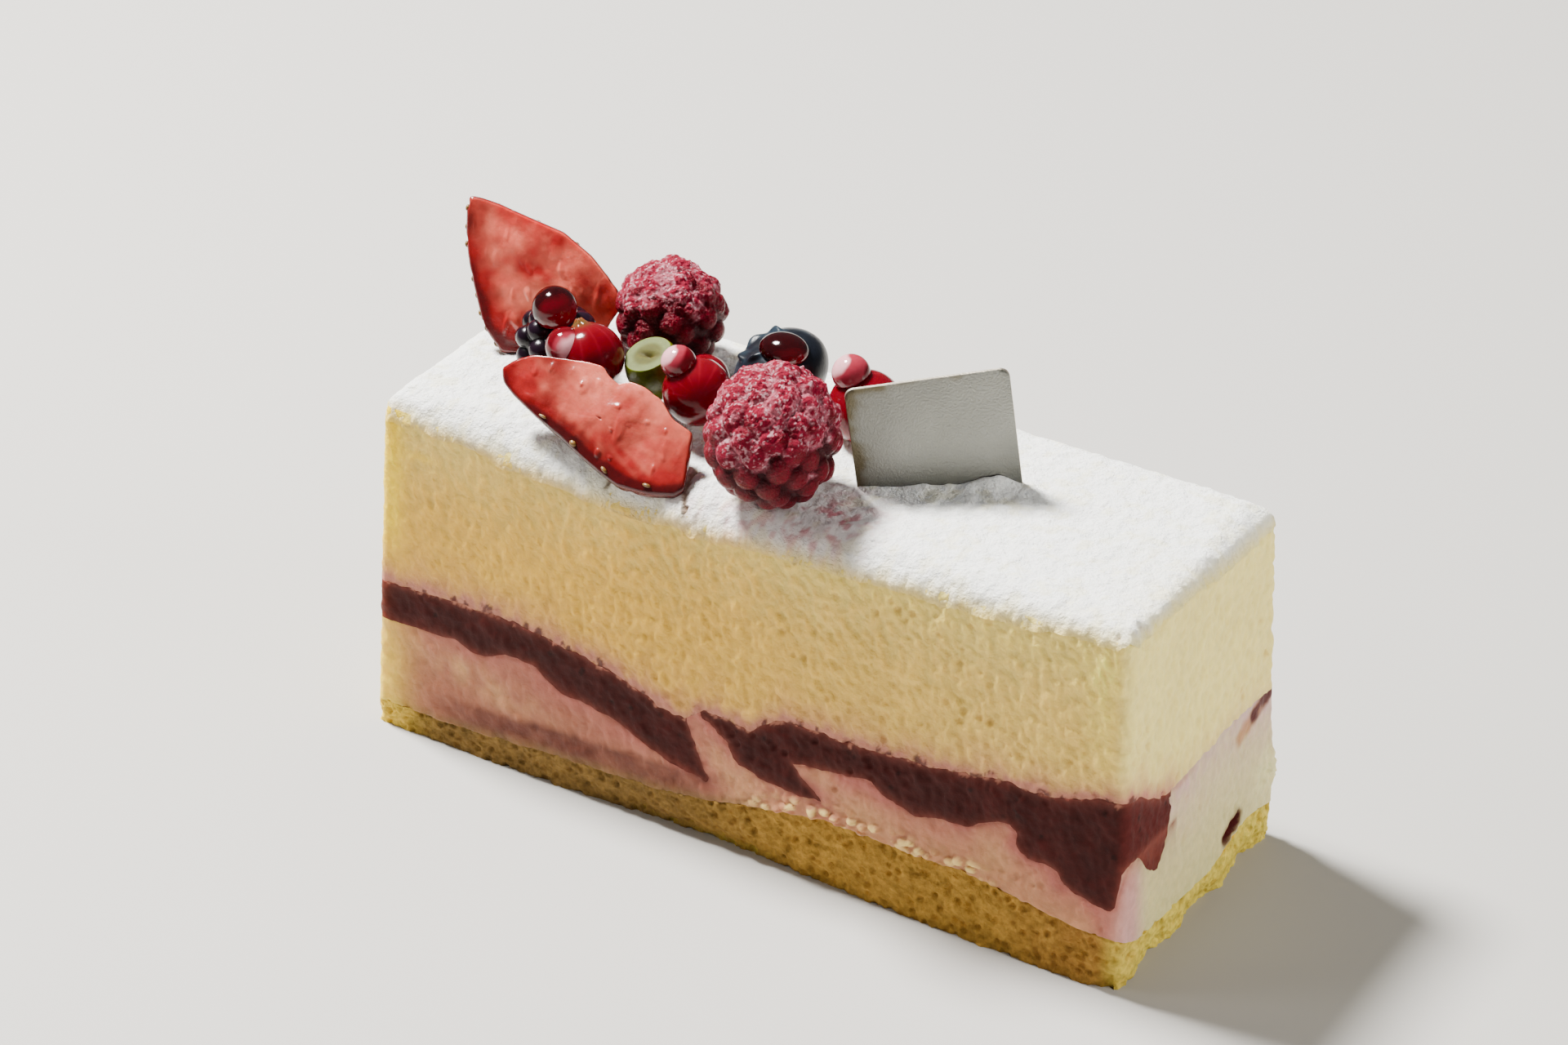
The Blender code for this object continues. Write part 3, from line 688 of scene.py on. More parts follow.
rings, low, high = layer_rings(
    walk, z_band, z_round, CREAM_ROWS, drag, band_top, lambda x, y: crown(x, y, UNDER_SUGAR))
bend = np.linspace(0.06, 0.42, 7)[:, None]  # angles of the extra rings, in radians
tuck = wall(walk, z_round + radius * np.sin(bend), -radius * (1 - np.cos(bend)))
tuck = wall(walk, tuck[..., 2], drag(tuck) * (1 - bend) - radius * (1 - np.cos(bend)))
wall_end = len(INNER) + CREAM_ROWS
rings = np.concatenate([rings[:wall_end], tuck, rings[wall_end:]])
cream_mesh = ring_mesh("upper_cream", rings, low, high)
paint(cream_mesh, cream_colour(points_of(cream_mesh)))
show("upper_cream_skin", cream_mesh, cream_finish, ["upper_cream"], sharp=60)

# %% [markdown]
# The middle of the slice is pale pink mousse with two tongues of dark berry mousse let into it.
# The tongues overhang, so their edge can't be one height over the block, as a layer's can.
# They are closed outlines in x and z instead, softened, carried from the front to the back.

# %% Outlines of the dark tongues
LEFT_BAND = [
    (-60, 15.5), (-46.2, 15.5), (-40.4, 16.0), (-38.6, 15.3), (-36.0, 15.0), (-32.9, 16.2),
    (-28.6, 16.5), (-26.8, 15.0), (-24.7, 13.9), (-20.4, 13.6), (-15.7, 12.3), (-13.1, 11.2),
    (-10.6, 10.3), (-5.5, 9.2), (-3.8, 8.6), (-3.3, 9.4), (-4.5, 11.4), (-5.2, 13.6),
    (-6.4, 16.0), (-9.5, 28.0), (-60, 28.0)]
RIGHT_BAND = [
    (-4.6, 18.0), (-2.3, 16.6), (-0.7, 15.2), (1.0, 13.0), (3.9, 12.0), (9.7, 11.6),
    (12.6, 11.6), (11.3, 13.0), (9.7, 14.4), (8.8, 15.6), (11.7, 16.2), (18.6, 16.9),
    (21.6, 15.8), (24.7, 14.6), (28.5, 15.3), (32.4, 15.7), (34.7, 16.9), (37.1, 18.0),
    (38.5, 17.5), (38.7, 15.6), (40.2, 14.2), (42.5, 14.6), (44.0, 14.1), (45.1, 12.6),
    (47.9, 11.7), (50.3, 11.1), (51.8, 11.5), (52.5, 17.0), (60, 17.0), (60, 32.0),
    (-3.0, 32.0)]
NOTCH = np.array([
    (-24, 17.4), (-15.2, 17.2), (-13.2, 14.0), (-10.5, 12.2), (-8.8, 14.4), (-7.9, 19.2),
    (-7.4, 27.0), (24, 27.0)])


def softened(points, times):
    """Closed line with extra points: each one is a cubic blend of its four neighbours."""
    p = np.array(points, float)
    before, after, beyond = np.roll(p, 1, 0), np.roll(p, -1, 0), np.roll(p, -2, 0)
    t = (np.arange(times) / times)[None, :, None]
    a, b, c, d = (q[:, None, :] for q in (before, p, after, beyond))
    out = b + 0.35 * t * (c - a + t * (2 * a - 5 * b + 4 * c - d + t * (3 * (b - c) + d - a)))
    lin = b * (1 - t) + c * t
    return (0.7 * out + 0.3 * lin).reshape(-1, 2)


print("points round the tongues:", len(softened(LEFT_BAND, 4)), len(softened(RIGHT_BAND, 4)))

# %% [markdown]
# On the right end the dark mousse shows only near the front corner, with a notch in its lower
# edge. So the right tongue's end follows the notch line there and draws back from the end
# further in. Both wander a little towards the back, where their shape is a guess.

# %% Tongues carried through the block
DRAW_BACK_FROM = 43.0  # x past which the right tongue is squeezed back towards the rear


def tongue(name, outline, right):
    """Outline in x and z carried along y, wandering a little; the right one draws back."""
    line = softened(outline, 4)
    y = np.linspace(-24, 24, 97)[:, None]
    x, z = line[:, 0] + 0 * y, line[:, 1] + 0 * y
    deep = smooth(y, -17, 10)
    low = 1 - smooth(z, 15.0, 22.0)
    x = x + 0.9 * np.sin(0.19 * y) * deep
    z = z + low * 0.7 * deep * np.sin(0.21 * x + 0.3 * y)
    ragged = np.stack([x, 0 * x + y, z], -1)
    z = z + 0.28 * rough(ragged, 2.4, 3, 31) * (z < 26)
    x = x + 0.22 * rough(ragged, 2.0, 3, 33)
    if right:
        end = smooth(x, 51.6, 52.5) * (line[:, 1] < 20)
        z = z * (1 - end) + np.interp(y, NOTCH[:, 0], NOTCH[:, 1]) * end
        back = DRAW_BACK_FROM + (x - DRAW_BACK_FROM) * (1 - 0.8 * smooth(y, -7.8, -4.0))
        x = np.where(x > DRAW_BACK_FROM, back, x)
    rings = np.stack([x, 0 * x + y, z], -1)
    mesh = ring_mesh(name, rings, rings[0].mean(0)[None], rings[-1].mean(0)[None])
    tool = bpy.data.objects.new(name, mesh)
    bpy.context.scene.collection.objects.link(tool)
    return tool


print("the notch at the front corner is", np.interp(-17.0, *NOTCH.T).round(1), "mm up")

# %% [markdown]
# One fine slab is made for the whole middle and cut three ways with the two tongues. The cut is
# a Boolean, and it leaves the outer relief running on from mousse to band. The Manifold solver is
# quick on closed meshes such as these.

# %% Cut a mesh with tools
def carved(name, mesh, cuts):
    """The mesh after a list of (tool, operation) Booleans."""
    body = bpy.data.objects.new(name, mesh)
    bpy.context.scene.collection.objects.link(body)
    for tool, how in cuts:
        mod = body.modifiers.new("cut", "BOOLEAN")
        mod.operation, mod.solver, mod.object = how, "MANIFOLD", tool
    graph = bpy.context.evaluated_depsgraph_get()
    result = bpy.data.meshes.new_from_object(body.evaluated_get(graph))
    bpy.data.objects.remove(body)
    result.name = name
    print(name, "after", len(cuts), "cuts:", len(result.polygons), "faces")
    return result


# %% [markdown]
# The mousse is pink where berry juice has run into it and pale further off, rose at the left,
# and lilac below the cream on the right end. Its long side is painted darker and warmer than its
# end, as painted shade. How pink it is depends on the distance to the bands' outlines, so that
# distance is worked out for every point.

# %% Distances to lines
def gap_to_line(p, outline):
    """Distance in x and z from each point to the nearest leg of an outline."""
    a = np.array(outline, float)
    b = np.roll(a, -1, 0)
    q = p[:, [0, 2]]
    best = np.full(len(q), 99.0)
    for s, e in zip(a, b):
        d = e - s
        t = np.clip(((q - s) @ d) / (d @ d), 0, 1)
        best = np.minimum(best, np.hypot(*(q - s - t[:, None] * d).T))
    return best


def gap_to_bands(p):
    """Distance to the outline of either tongue."""
    return np.minimum(gap_to_line(p, LEFT_BAND), gap_to_line(p, RIGHT_BAND))


def near_leg(y, z, leg, width):
    """1 on a short leg (y0, z0, y1, z1) of the right end, falling off to 0 at the width."""
    y0, z0, y1, z1 = leg
    d = np.array([y1 - y0, z1 - z0])
    s = np.clip(((y - y0) * d[0] + (z - z0) * d[1]) / (d @ d), 0, 1)
    return smooth(1 - np.hypot(y - y0 - s * d[0], z - z0 - s * d[1]) / width, 0.0, 0.7)


print("gap from a point in the pale mousse:", gap_to_bands(np.array([[20.0, -18.0, 12.0]])).round(2))

# %% Colours of the mousse
PINK = np.array([0.45, 0.140, 0.105])
ROSE = np.array([0.31, 0.088, 0.060])
# Painted shade: the pale mousse of the long side is darker and warmer than the end's.
PALE_SHADED = np.array([0.56, 0.275, 0.130])
PALE_WARM = PALE_SHADED * np.array([1.15, 1.25, 1.15])
PALE_END = np.array([0.66, 0.58, 0.25])
LILAC = np.array([0.60, 0.37, 0.33])
JUICE = np.array([0.17, 0.042, 0.030])


def long_side_colour(p, near):
    """Rose at the left, pale at the right, pink where juice has run in from the bands; all in painted
    shade, darker and warmer than the end.
    """
    x, z = p[:, 0], p[:, 2]
    juice = np.exp(-near / 2.6) * (1.0 + 0.5 * noise(p, 2.6, 43)) + 0.25 * noise(p, 4.0, 44)
    colour = blend(blend(PALE_SHADED + 0 * p, ROSE, 0.75 * smooth(-x, -6, 22)), PINK, juice)
    return blend(colour, PALE_SHADED * 1.25, bell(x, 3, 6) * bell(z, 11, 4) * (0.4 + 0.6 * strokes(p)))


def right_end_colour(p, from_top):
    """Pale cream, with lilac that fades below the cream and gathers at the front corner."""
    y, z = p[:, 1], p[:, 2]
    brush = strokes(p)
    lilac = np.exp(-np.maximum(from_top, 0) / 6.0) * (0.8 + 0.35 * brush)
    lilac = lilac * (1.0 + 0.5 * smooth(y, 5, 15) + 0.25 * bell(y, -6, 4))
    lilac = np.maximum(lilac, 1.1 * bell(y, -17.5, 3.4) * (1 - smooth(z, 14, 19)))
    # Painted shade of the relief: the pale end is a little lighter where the strokes push it out.
    return blend(PALE_END * (1 + 0.05 * brush)[:, None], LILAC, lilac)


print("pale mousse, long side and end:", PALE_SHADED, PALE_END)

# %% [markdown]
# Where mousse meets sponge there is more to see: a brown-pink tide line at the left, a thin
# olive line under it, and pale crumbs caught in the seam at the right. The crumbs are random
# cells in a band over the sponge, and they raise the surface as well as colour it.

# %% The seam over the sponge
TIDE = np.array([0.125, 0.035, 0.021])
OLIVE = np.array([0.22, 0.13, 0.04])
CRUMB = np.array([0.88, 0.62, 0.22])


def crumb_lumps(p):
    """Pale crumbs 0..1 caught between mousse and sponge on the right half of the front."""
    x, y, z = p[..., 0], p[..., 1], p[..., 2]
    height = z - sponge_top(x, y) - 0.4 * noise(p, 3.0, 46)
    patch = bell(height, 0.8, 1.1) * smooth(x, -2, 8) * (1 - smooth(x, 32, 40)) * on_front(p)
    return patch * smooth(0.62 - cells(p * [1, 1, 1.5], 1.5, 48), 0.0, 0.3)


def seam_colour(colour, p):
    """The mousse's colour with the tide line, the olive line and the crumbs."""
    x = p[:, 0]
    height = p[:, 2] - sponge_top(x, p[:, 1])
    tide = smooth(4.4 - height, 0.0, 1.4) * smooth(x, -46, -38) * (1 - smooth(x, -8, 2)) * on_front(p)
    colour = blend(colour, TIDE, tide * (0.85 + 0.25 * noise(p, 1.6, 45)))
    olive = bell(height, 0.0, 0.9) * (1 - smooth(x, 0, 8)) * on_front(p)
    colour = blend(colour, OLIVE, 0.7 * olive)
    lumps = crumb_lumps(p)
    colour = blend(colour, CRUMB, 1.1 * lumps)
    return blend(colour, ROSE, 0.35 * bell(lumps, 0.25, 0.2) * (height < 3.0) * on_front(p))


print("tide line against rose:", (TIDE / ROSE).round(2))

# %% [markdown]
# The right end has marks of its own: an orange smear and dark bits near the rear top, a small
# hole low down with painted shade inside it, and a yellow bump at the rear edge. Smear, bits and
# hole are short legs in y and z with a soft width, and the bump is a bell of the height.

# %% Marks on the right end
SMEAR = (9.6, 19.2, 18.0, 22.2)  # y and z of one end, y and z of the other
BITS = (13.0, 20.4, 16.8, 21.6)
HOLE = (6.7, 7.0, 9.4, 8.0)
BUMP_Z = 11.0
ORANGE = np.array([0.40, 0.16, 0.04])
YELLOW_BUMP = np.array([0.86, 0.80, 0.40])


def end_marks(colour, p, from_top):
    """The mousse's colour with bump, smear, bits, painted shade in the hole, and a painted glow at the
    left corner.
    """
    y, z = p[:, 1], p[:, 2]
    end = smooth(p[:, 0], 50.6, 52.2)
    colour = blend(colour, YELLOW_BUMP, 0.8 * bell(z, BUMP_Z, 2.6) * smooth(y, 12.0, 16.5) * end)
    # Painted glow at the left corner.
    corner = bell(inside_ends(p)[0], 0.0, 4.2) * smooth(-y, 11, 18)
    colour = blend(colour, EDGE_GLOW, corner * (1 - 0.4 * smooth(z, 8, 18)))
    streak = bell(from_top, 0.2, 0.5) * smooth(y, -16, -14) * (1 - smooth(y, -6, 1))
    colour = blend(colour, ORANGE, end * (near_leg(y, z, SMEAR, 1.7) * 0.75 + 0.5 * streak))
    bits = near_leg(y, z, BITS, 1.5) * (1.1 + 0.8 * noise(p, 1.2, 47))
    colour = blend(colour, BERRY * 1.8, end * bits)
    # Painted shade inside the small hole.
    return blend(colour, BERRY * 1.6, 1.3 * near_leg(y, z, HOLE, 1.8) * smooth(p[:, 0], 47.0, 49.0))


print("length of the orange smear:", np.hypot(SMEAR[2] - SMEAR[0], SMEAR[3] - SMEAR[1]).round(1), "mm")

# %% Colour and relief of the mousse
def mousse_colour(p):
    """Long side and right end, bleeding from the bands, the seam, and the end's marks."""
    x, y, z = p.T
    near = gap_to_bands(p)
    from_top = band_top(x, y) - z
    front = on_front(p)
    # The long side's colours carry painted shade.
    colour = blend(right_end_colour(p, from_top), long_side_colour(p, near), front)
    bleed = np.exp(-near / 0.32) * (0.9 + 0.5 * noise(p, 1.0, 42)) * (from_top > 0.3)
    colour = blend(colour, JUICE, 0.75 * bleed * np.maximum(front, y < -6))
    colour = blend(colour, PINK * 1.15, 0.8 * bell(x, 51.0, 1.8) * (1 - smooth(y, -17, -13)))
    patch = bell(x, -38, 9) * bell(z + 0.16 * (x + 38), 11.5, 2.4) * front
    colour = blend(colour, PALE_WARM, 0.9 * patch * (0.6 + 0.6 * rough(p, 2.2, 2, 41)))
    return end_marks(seam_colour(colour, p), p, from_top)


def mousse_push(p):
    """Crumbs over the sponge, a small hole at the right end, and a rough bump at its rear."""
    x, y, z = p[..., 0], p[..., 1], p[..., 2]
    front, end = on_front(p), smooth(x, 51.0, 52.5)
    hole = near_leg(y, z, HOLE, 1.1)
    bump = bell(z, BUMP_Z, 2.4) * smooth(y, 12.5, 17.5)
    out = 0.55 * crumb_lumps(p) - 1.2 * hole * end + 0.16 * rough(p, 1.5, 3, 50) * front
    return out + 0.45 * bump * end * (1 + 1.4 * rough(p, 1.0, 3, 49))


low_on_front = along_front * [0.6, 1.0, 0.33]
print("mousse along the front:", mousse_colour(low_on_front).round(2).tolist())

# %% [markdown]
# The dark bands are dull berry brown. Their rim is redder, because mousse and juice have mixed
# there. The right end and the left corner are painted redder as well, a painted glow of the light
# that comes through them. Small dark spots, painted shade for small pits, and flecks of stained
# cream along the top keep them from looking painted.

# %% Colour of the dark bands
# Painted glow at the left corner.
RED_CORNER_GLOW = np.array([0.17, 0.030, 0.013])


def dark_colour(p):
    """Dull berry brown with painted shade for small pits, redder along the outline, with a painted glow
    at the ends.
    """
    top = np.abs(band_top(p[:, 0], p[:, 1]) - p[:, 2])
    rim = np.exp(-np.minimum(gap_to_bands(p), top) / 0.5)
    colour = BERRY * (1 + 0.22 * rough(p, 2.4, 3, 51))[:, None]
    end = smooth(p[:, 0], 51.0, 52.4)
    # Painted glow: the right end is redder.
    colour = blend(colour, BERRY * 2.0, 0.6 * end)
    # Painted shade: small dark spots for pits.
    colour = blend(colour, BERRY * 0.4, 0.9 * smooth(0.2 - cells(p, 2.4, 53), 0.0, 0.1))
    colour = blend(colour, JUICE, rim * (0.75 + 0.2 * end))
    corner = bell(inside_ends(p)[0], 0.4, 1.5) * smooth(-p[:, 1], 11, 18)
    colour = blend(colour, RED_CORNER_GLOW, 0.7 * corner)
    fleck = smooth(rough(p, (0.9, 0.9, 1.2), 3, 28) - 1.1 * top, -0.05, 0.45) * (1 - end)
    return blend(colour, STAIN * 0.8, 0.8 * fleck)


band_spot = np.array([[-30.0, -19.0, 18.5]])
print("a spot of the left band against berry brown:", (dark_colour(band_spot) / BERRY).round(1))

# %% [markdown]
# Now the slab is made and cut. Three copies of it are kept: one less both tongues, which is the
# mousse, and one inside each tongue. The tools are thrown away afterwards.

# %% Cut the middle in three
slab = ring_mesh("middle", *layer_rings(
    walk, z_sponge, z_band, steps(56), lambda p: drag(p) + mousse_push(p), sponge_top, band_top))
tools = [tongue("left_tongue", LEFT_BAND, False), tongue("right_tongue", RIGHT_BAND, True)]
mousse_mesh = carved("lower_mousse", slab.copy(), [(t, "DIFFERENCE") for t in tools])
left_mesh = carved("left_band", slab.copy(), [(tools[0], "INTERSECT")])
right_mesh = carved("right_band", slab.copy(), [(tools[1], "INTERSECT")])
for tool in tools:
    bpy.data.objects.remove(tool)
print("the slab before it was cut:", len(slab.polygons), "faces")

# %% Show the mousse and the bands
paint(mousse_mesh, mousse_colour(points_of(mousse_mesh)))
paint(left_mesh, dark_colour(points_of(left_mesh)))
paint(right_mesh, dark_colour(points_of(right_mesh)))
show("mousse_skin", mousse_mesh, mousse_finish, ["lower_mousse"], sharp=60)
show("left_band_skin", left_mesh, dark_finish, ["berry_layer_left"], sharp=60)
show("right_band_skin", right_mesh, dark_finish, ["berry_layer_right"], sharp=60)

# %% [markdown]
# The sponge is open crumb: torn pores, small lumps, and a foot nibbled back where it was cut.
# Random cells make the pores and noise the lumps. Its grid is finer than the other layers', as
# its grain is what tells it from the mousse.

# %% Relief of the sponge
PORE_SIZE = 1.5


def foot_cut(p):
    """How far the foot is cut back: along the front's middle and raggedly at the right end."""
    low = 1 - smooth(p[..., 2], 0.0, 4.2)
    front = (1 - smooth(p[..., 1], -19, -15)) * (1.4 * bell(p[..., 0], -3, 17) + 0.2)
    end = smooth(p[..., 0], 48, 52) * (0.9 + 0.5 * np.sin(p[..., 1] * 0.55 + 1.0))
    return low * (front + end)


def crumb(p):
    """Outward push of the crumb: lumps, less the pores, less the cut foot."""
    lumps = 0.20 * rough(p, 1.9, 3, 61) + 0.16 * rough(p, 0.6, 2, 62)
    pore = smooth(0.42 - cells(p, PORE_SIZE, 63), 0.0, 0.3)
    torn = 0.55 * np.minimum(noise(p, (1.6, 1.6, 1.4), 65) + 0.30, 0.0)
    torn = torn * (1 - smooth(p[..., 2], 0.2, 2.2))
    return lumps - 0.38 * pore + torn - foot_cut(p) - 0.12


sponge_walk = outline_walk(steps(1150))
base = wall(sponge_walk, np.full(len(sponge_walk[0]), 6.0))
print("relief of the crumb:", crumb(base).min().round(2), "to", crumb(base).max().round(2), "mm")

# %% [markdown]
# The sponge is yellow on the end. Its long side is painted browner and darker, as painted shade,
# darkest at the left, and its left corner has a painted glow. Its pores are painted deeper in
# colour, as painted shade where less light reaches them. The front corner is browned by the oven,
# and one dark yellow lump shows on the right end.

# %% Colour of the sponge
SPONGE = np.array([0.72, 0.55, 0.080])
# Painted shade: the long side is browner and darker, most of all at the left.
SPONGE_SHADED_FRONT = np.array([0.39, 0.215, 0.038])
SPONGE_SHADED_LEFT = np.array([0.22, 0.128, 0.036])
SPONGE_BROWN = np.array([0.30, 0.13, 0.03])
SPONGE_LUMP = np.array([0.75, 0.45, 0.03])
LUMP = (5.8, 5.4, 9.0, 6.2)


def sponge_colour(p):
    """Yellow, with painted shade on the front and in the pores, a painted glow at the left corner,
    browned at the front corner.
    """
    front = on_front(p)
    colour = blend(SPONGE + 0 * p, SPONGE_SHADED_FRONT, front)
    colour = blend(colour, SPONGE_SHADED_LEFT, front * (1 - smooth(p[:, 0], -12, 12)))
    # Painted glow at the left corner.
    colour = blend(colour, EDGE_GLOW, 0.9 * front * bell(inside_ends(p)[0], 0.0, 5.0))
    colour = colour * (1 + (0.10 + 0.10 * front) * rough(p, 1.4, 4, 69))[:, None]
    # Painted shade in the pores.
    pores = smooth(0.45 - cells(p, PORE_SIZE, 63), 0.0, 0.3)
    colour = blend(colour, colour * np.array([0.66, 0.56, 0.44]), 0.7 * pores)
    browned = bell(p[:, 0], 47, 7) * (1 - smooth(p[:, 1], -17, -13)) * (0.8 + 0.4 * noise(p, 2.0, 71))
    colour = blend(colour, SPONGE_BROWN, 0.6 * browned)
    lump = near_leg(p[:, 1], p[:, 2], LUMP, 0.8) * smooth(p[:, 0], 50.5, 52)
    return blend(colour, SPONGE_LUMP, lump)


print("sponge along the front:", sponge_colour(along_front * [0.6, 1.0, 0.1]).round(2).tolist())

# %% Build the sponge
ragged = 0.22 * rough(base, 1.3, 3, 67)
sponge_mesh = ring_mesh("sponge", *layer_rings(
    sponge_walk, np.zeros(len(base)), sponge_top(base[:, 0], base[:, 1]) + ragged,
    steps(36), crumb, lambda x, y: 0 * x, sponge_top))
paint(sponge_mesh, sponge_colour(points_of(sponge_mesh)))
show("sponge_skin", sponge_mesh, sponge_finish, ["sponge_base"], sharp=75)

# %% [markdown]
# Snow sugar lies over the top and rolls down the softened edges. It is a thin lumpy skin whose
# edge is feathered. Unlike the layers, it is a sheet on a grid in x and y, because its lumps lie
# on the top face. The grid is rounded at its corners to the outline of the block.

# %% A grid on the block's outline
def footprint(s, t, z, inset=0.0, r=CORNER_R):
    """Point of the leaning, corner-rounded outline at height z for s, t in -1..1."""
    hx = HALF_X + DRAFT * (1 - z / HEIGHT) - inset
    hy = HALF_Y + DRAFT * (1 - z / HEIGHT) - inset
    x, y = s * hx, t * hy
    qx = np.maximum(np.abs(x) - (hx - r), 0.0) / r
    qy = np.maximum(np.abs(y) - (hy - r), 0.0) / r
    both = (qx > 0) & (qy > 0)
    k = np.where(both, np.maximum(qx, qy) / np.maximum(np.hypot(qx, qy), 1e-9), 1.0)
    x = np.where(both, np.sign(x) * (hx - r + r * qx * k), x)
    y = np.where(both, np.sign(y) * (hy - r + r * qy * k), y)
    return x, y


def close_ends(n, tight):
    """Stations -1..1 that crowd gently at both ends."""
    u = np.linspace(-1, 1, n)
    return np.sign(u) * (1 - (1 - np.abs(u)) ** tight)


s, t = np.meshgrid(close_ends(steps(330), 1.12), close_ends(steps(125), 1.25), indexing="ij")
print("sugar grid:", s.shape)

# %% [markdown]
# A skin needs two sides to be closed: the outer sheet, an inner one below it, and a strip that
# joins their rims. Solidify would do this too, but here the inner sheet can keep clear of the
# cream, whose surface is known.

# %% A closed skin from two sheets
def sheet_mesh(name, outer, inner):
    """Closed skin from an outer and an inner sheet of points with a shared rim."""
    nx, ny = outer.shape[:2]
    index = np.arange(nx * ny).reshape(nx, ny)
    cell = np.stack([index[:-1, :-1], index[1:, :-1], index[1:, 1:], index[:-1, 1:]], -1)
    cell = cell.reshape(-1, 4)
    rim = np.concatenate([index[:-1, 0], index[-1, :-1], index[:0:-1, -1], index[0, :0:-1]])
    after = np.roll(rim, -1)
    n = nx * ny
    edge = np.stack([rim + n, after + n, after, rim], -1)
    verts = np.vstack([outer.reshape(-1, 3), inner.reshape(-1, 3)])
    return mesh_of(name, verts, np.vstack([cell, cell[:, ::-1] + n, edge]), np.zeros((0, 3), int))


flat = np.stack([*np.mgrid[0:3.0, 0:4.0], np.zeros((3, 4))], -1)
trial = sheet_mesh("trial", flat + [0, 0, 1.0], flat)
print("faces of a skin from two sheets of 3 x 4 points:", len(trial.polygons))
bpy.data.meshes.remove(trial)

# %% [markdown]
# The powder is lumpy, and a drift of it is pushed up where the plaque was stuck in. Below the
# front strawberry its edge has cracked in two places. The plaque's place is needed for the drift,
# so it is named here and used again when the plaque is made.

# %% Lumps, drift and cracks of the sugar
PLAQUE_MID = np.array([16.3, -1.5, 54.2])
PLAQUE_YAW = np.radians(35.0)
CRACKS = ((-18.0, 0.25), (-8.6, -0.55))  # x of each crack at the top edge, and its lean


def along_plaque(x, y):
    """Distance along and in front of the plaque's foot, in mm."""
    dx, dy = x - PLAQUE_MID[0], y - PLAQUE_MID[1]
    c, s = np.cos(PLAQUE_YAW), np.sin(PLAQUE_YAW)
    return dx * c + dy * s, dx * s - dy * c


def powder(x, y, edge):
    """Height of the powder over the cake: lumps, grains, and the drift by the plaque."""
    p = np.stack([x, y, 0 * x], -1)
    lie = 0.10 * rough(p, 3.6, 2, 81) + 0.16 * rough(p, 1.2, 3, 83)
    u, v = along_plaque(x, y)
    drift = 1.0 * bell(u, 7.6, 3.0) * bell(v, 0.6, 1.3)
    drift = drift + 0.35 * bell(v, 0.4, 0.8) * smooth(10 - np.abs(u), 0, 2)
    return 0.27 + (lie + drift) * smooth(edge, 0.0, 1.5)


def cracks(x, y, z):
    """Two short cracks 0..1 down the front edge, below the front strawberry."""
    line = [np.abs(x - at - lean * (z - 46)) for at, lean in CRACKS]
    return smooth(0.38 - np.minimum(*line), 0.0, 0.25) * (y < -12.5) * smooth(z, 43.2, 44.0)


print("powder in front of the plaque:", powder(np.array([22.0]), np.array([1.5]), 9.0).round(2), "mm")

# %% [markdown]
# The outer sheet lies on the cake's top by the height of the powder and hangs over the rim in
# a ragged edge. The inner one lies 0.55 mm deeper and 0.6 mm further in, just above the cream.

# %% Outer and inner sheets of the sugar
x0, y0 = footprint(s, t, HEIGHT)
z0 = crown(x0, y0)
x1, y1 = footprint(s, t, z0)
to_edge = np.minimum(HALF_X - np.abs(x0), HALF_Y - np.abs(y0))
rim_p = np.stack([x0, y0, 0 * x0], -1)
near_rim = 1 - smooth(to_edge, 0.0, 1.2)
hang = (0.5 * noise(rim_p, 3.0, 85) + 0.12 * noise(rim_p, 1.1, 86)) * near_rim
over = powder(x0, y0, to_edge) * smooth(to_edge, 0.0, 0.8) - 0.3 * cracks(x0, y0, z0)
proud = 0.10 + 0.08 * rough(rim_p + [0, 0, 5.0], 0.9, 3, 88)
proud = proud + drag(np.stack([x1, y1, z0], -1)) - 0.7 * cracks(x1, y1, z0)
out_x = np.sign(x1) * (HALF_X - np.abs(x0) < 0.9)
out_y = np.sign(y1) * (HALF_Y - np.abs(y0) < 0.9)
outer = np.stack([x1 + out_x * proud, y1 + out_y * proud, z0 + over + hang], -1)
x2, y2 = footprint(s, t, z0, 0.6)
inner = np.stack([x2, y2, np.minimum(z0 + hang, z0) - 0.55], -1)
print("sugar over the cake:", (outer - inner)[..., 2].min().round(2), "mm and more")

# %% [markdown]
# Sugar is white, with cream showing through in places. It thins out down the edge until the
# cream's own colour is left, which is why its edge looks feathered. Pink dust has fallen from
# the frosted raspberries, in specks.

# %% Colour of the sugar
SUGAR = np.array([0.92, 0.92, 0.88])
SUGAR_CREAMY = np.array([0.86, 0.80, 0.52])
DUST = np.array([0.52, 0.17, 0.20])
# Painted shade inside the cracks.
CRACK_SHADE = np.array([0.30, 0.17, 0.07])


def dusting(p):
    """Share of pink dust: below the front raspberry, along the edge, and by the left fruit."""
    x, y = p[:, 0], p[:, 1]
    dust = 0.95 * bell(x, 10.5, 5.0) * bell(y, -13.0, 5.0)
    dust = dust + 0.6 * bell(x, 1.0, 9.0) * bell(y, -17.0, 2.6)
    dust = dust + 0.5 * bell(x, -26, 9) * bell(y, 2, 8)
    speck = smooth(rough(p * [1, 1, 0], 0.9, 3, 87), -0.1, 0.55)
    return dust * (0.30 + 0.70 * speck)


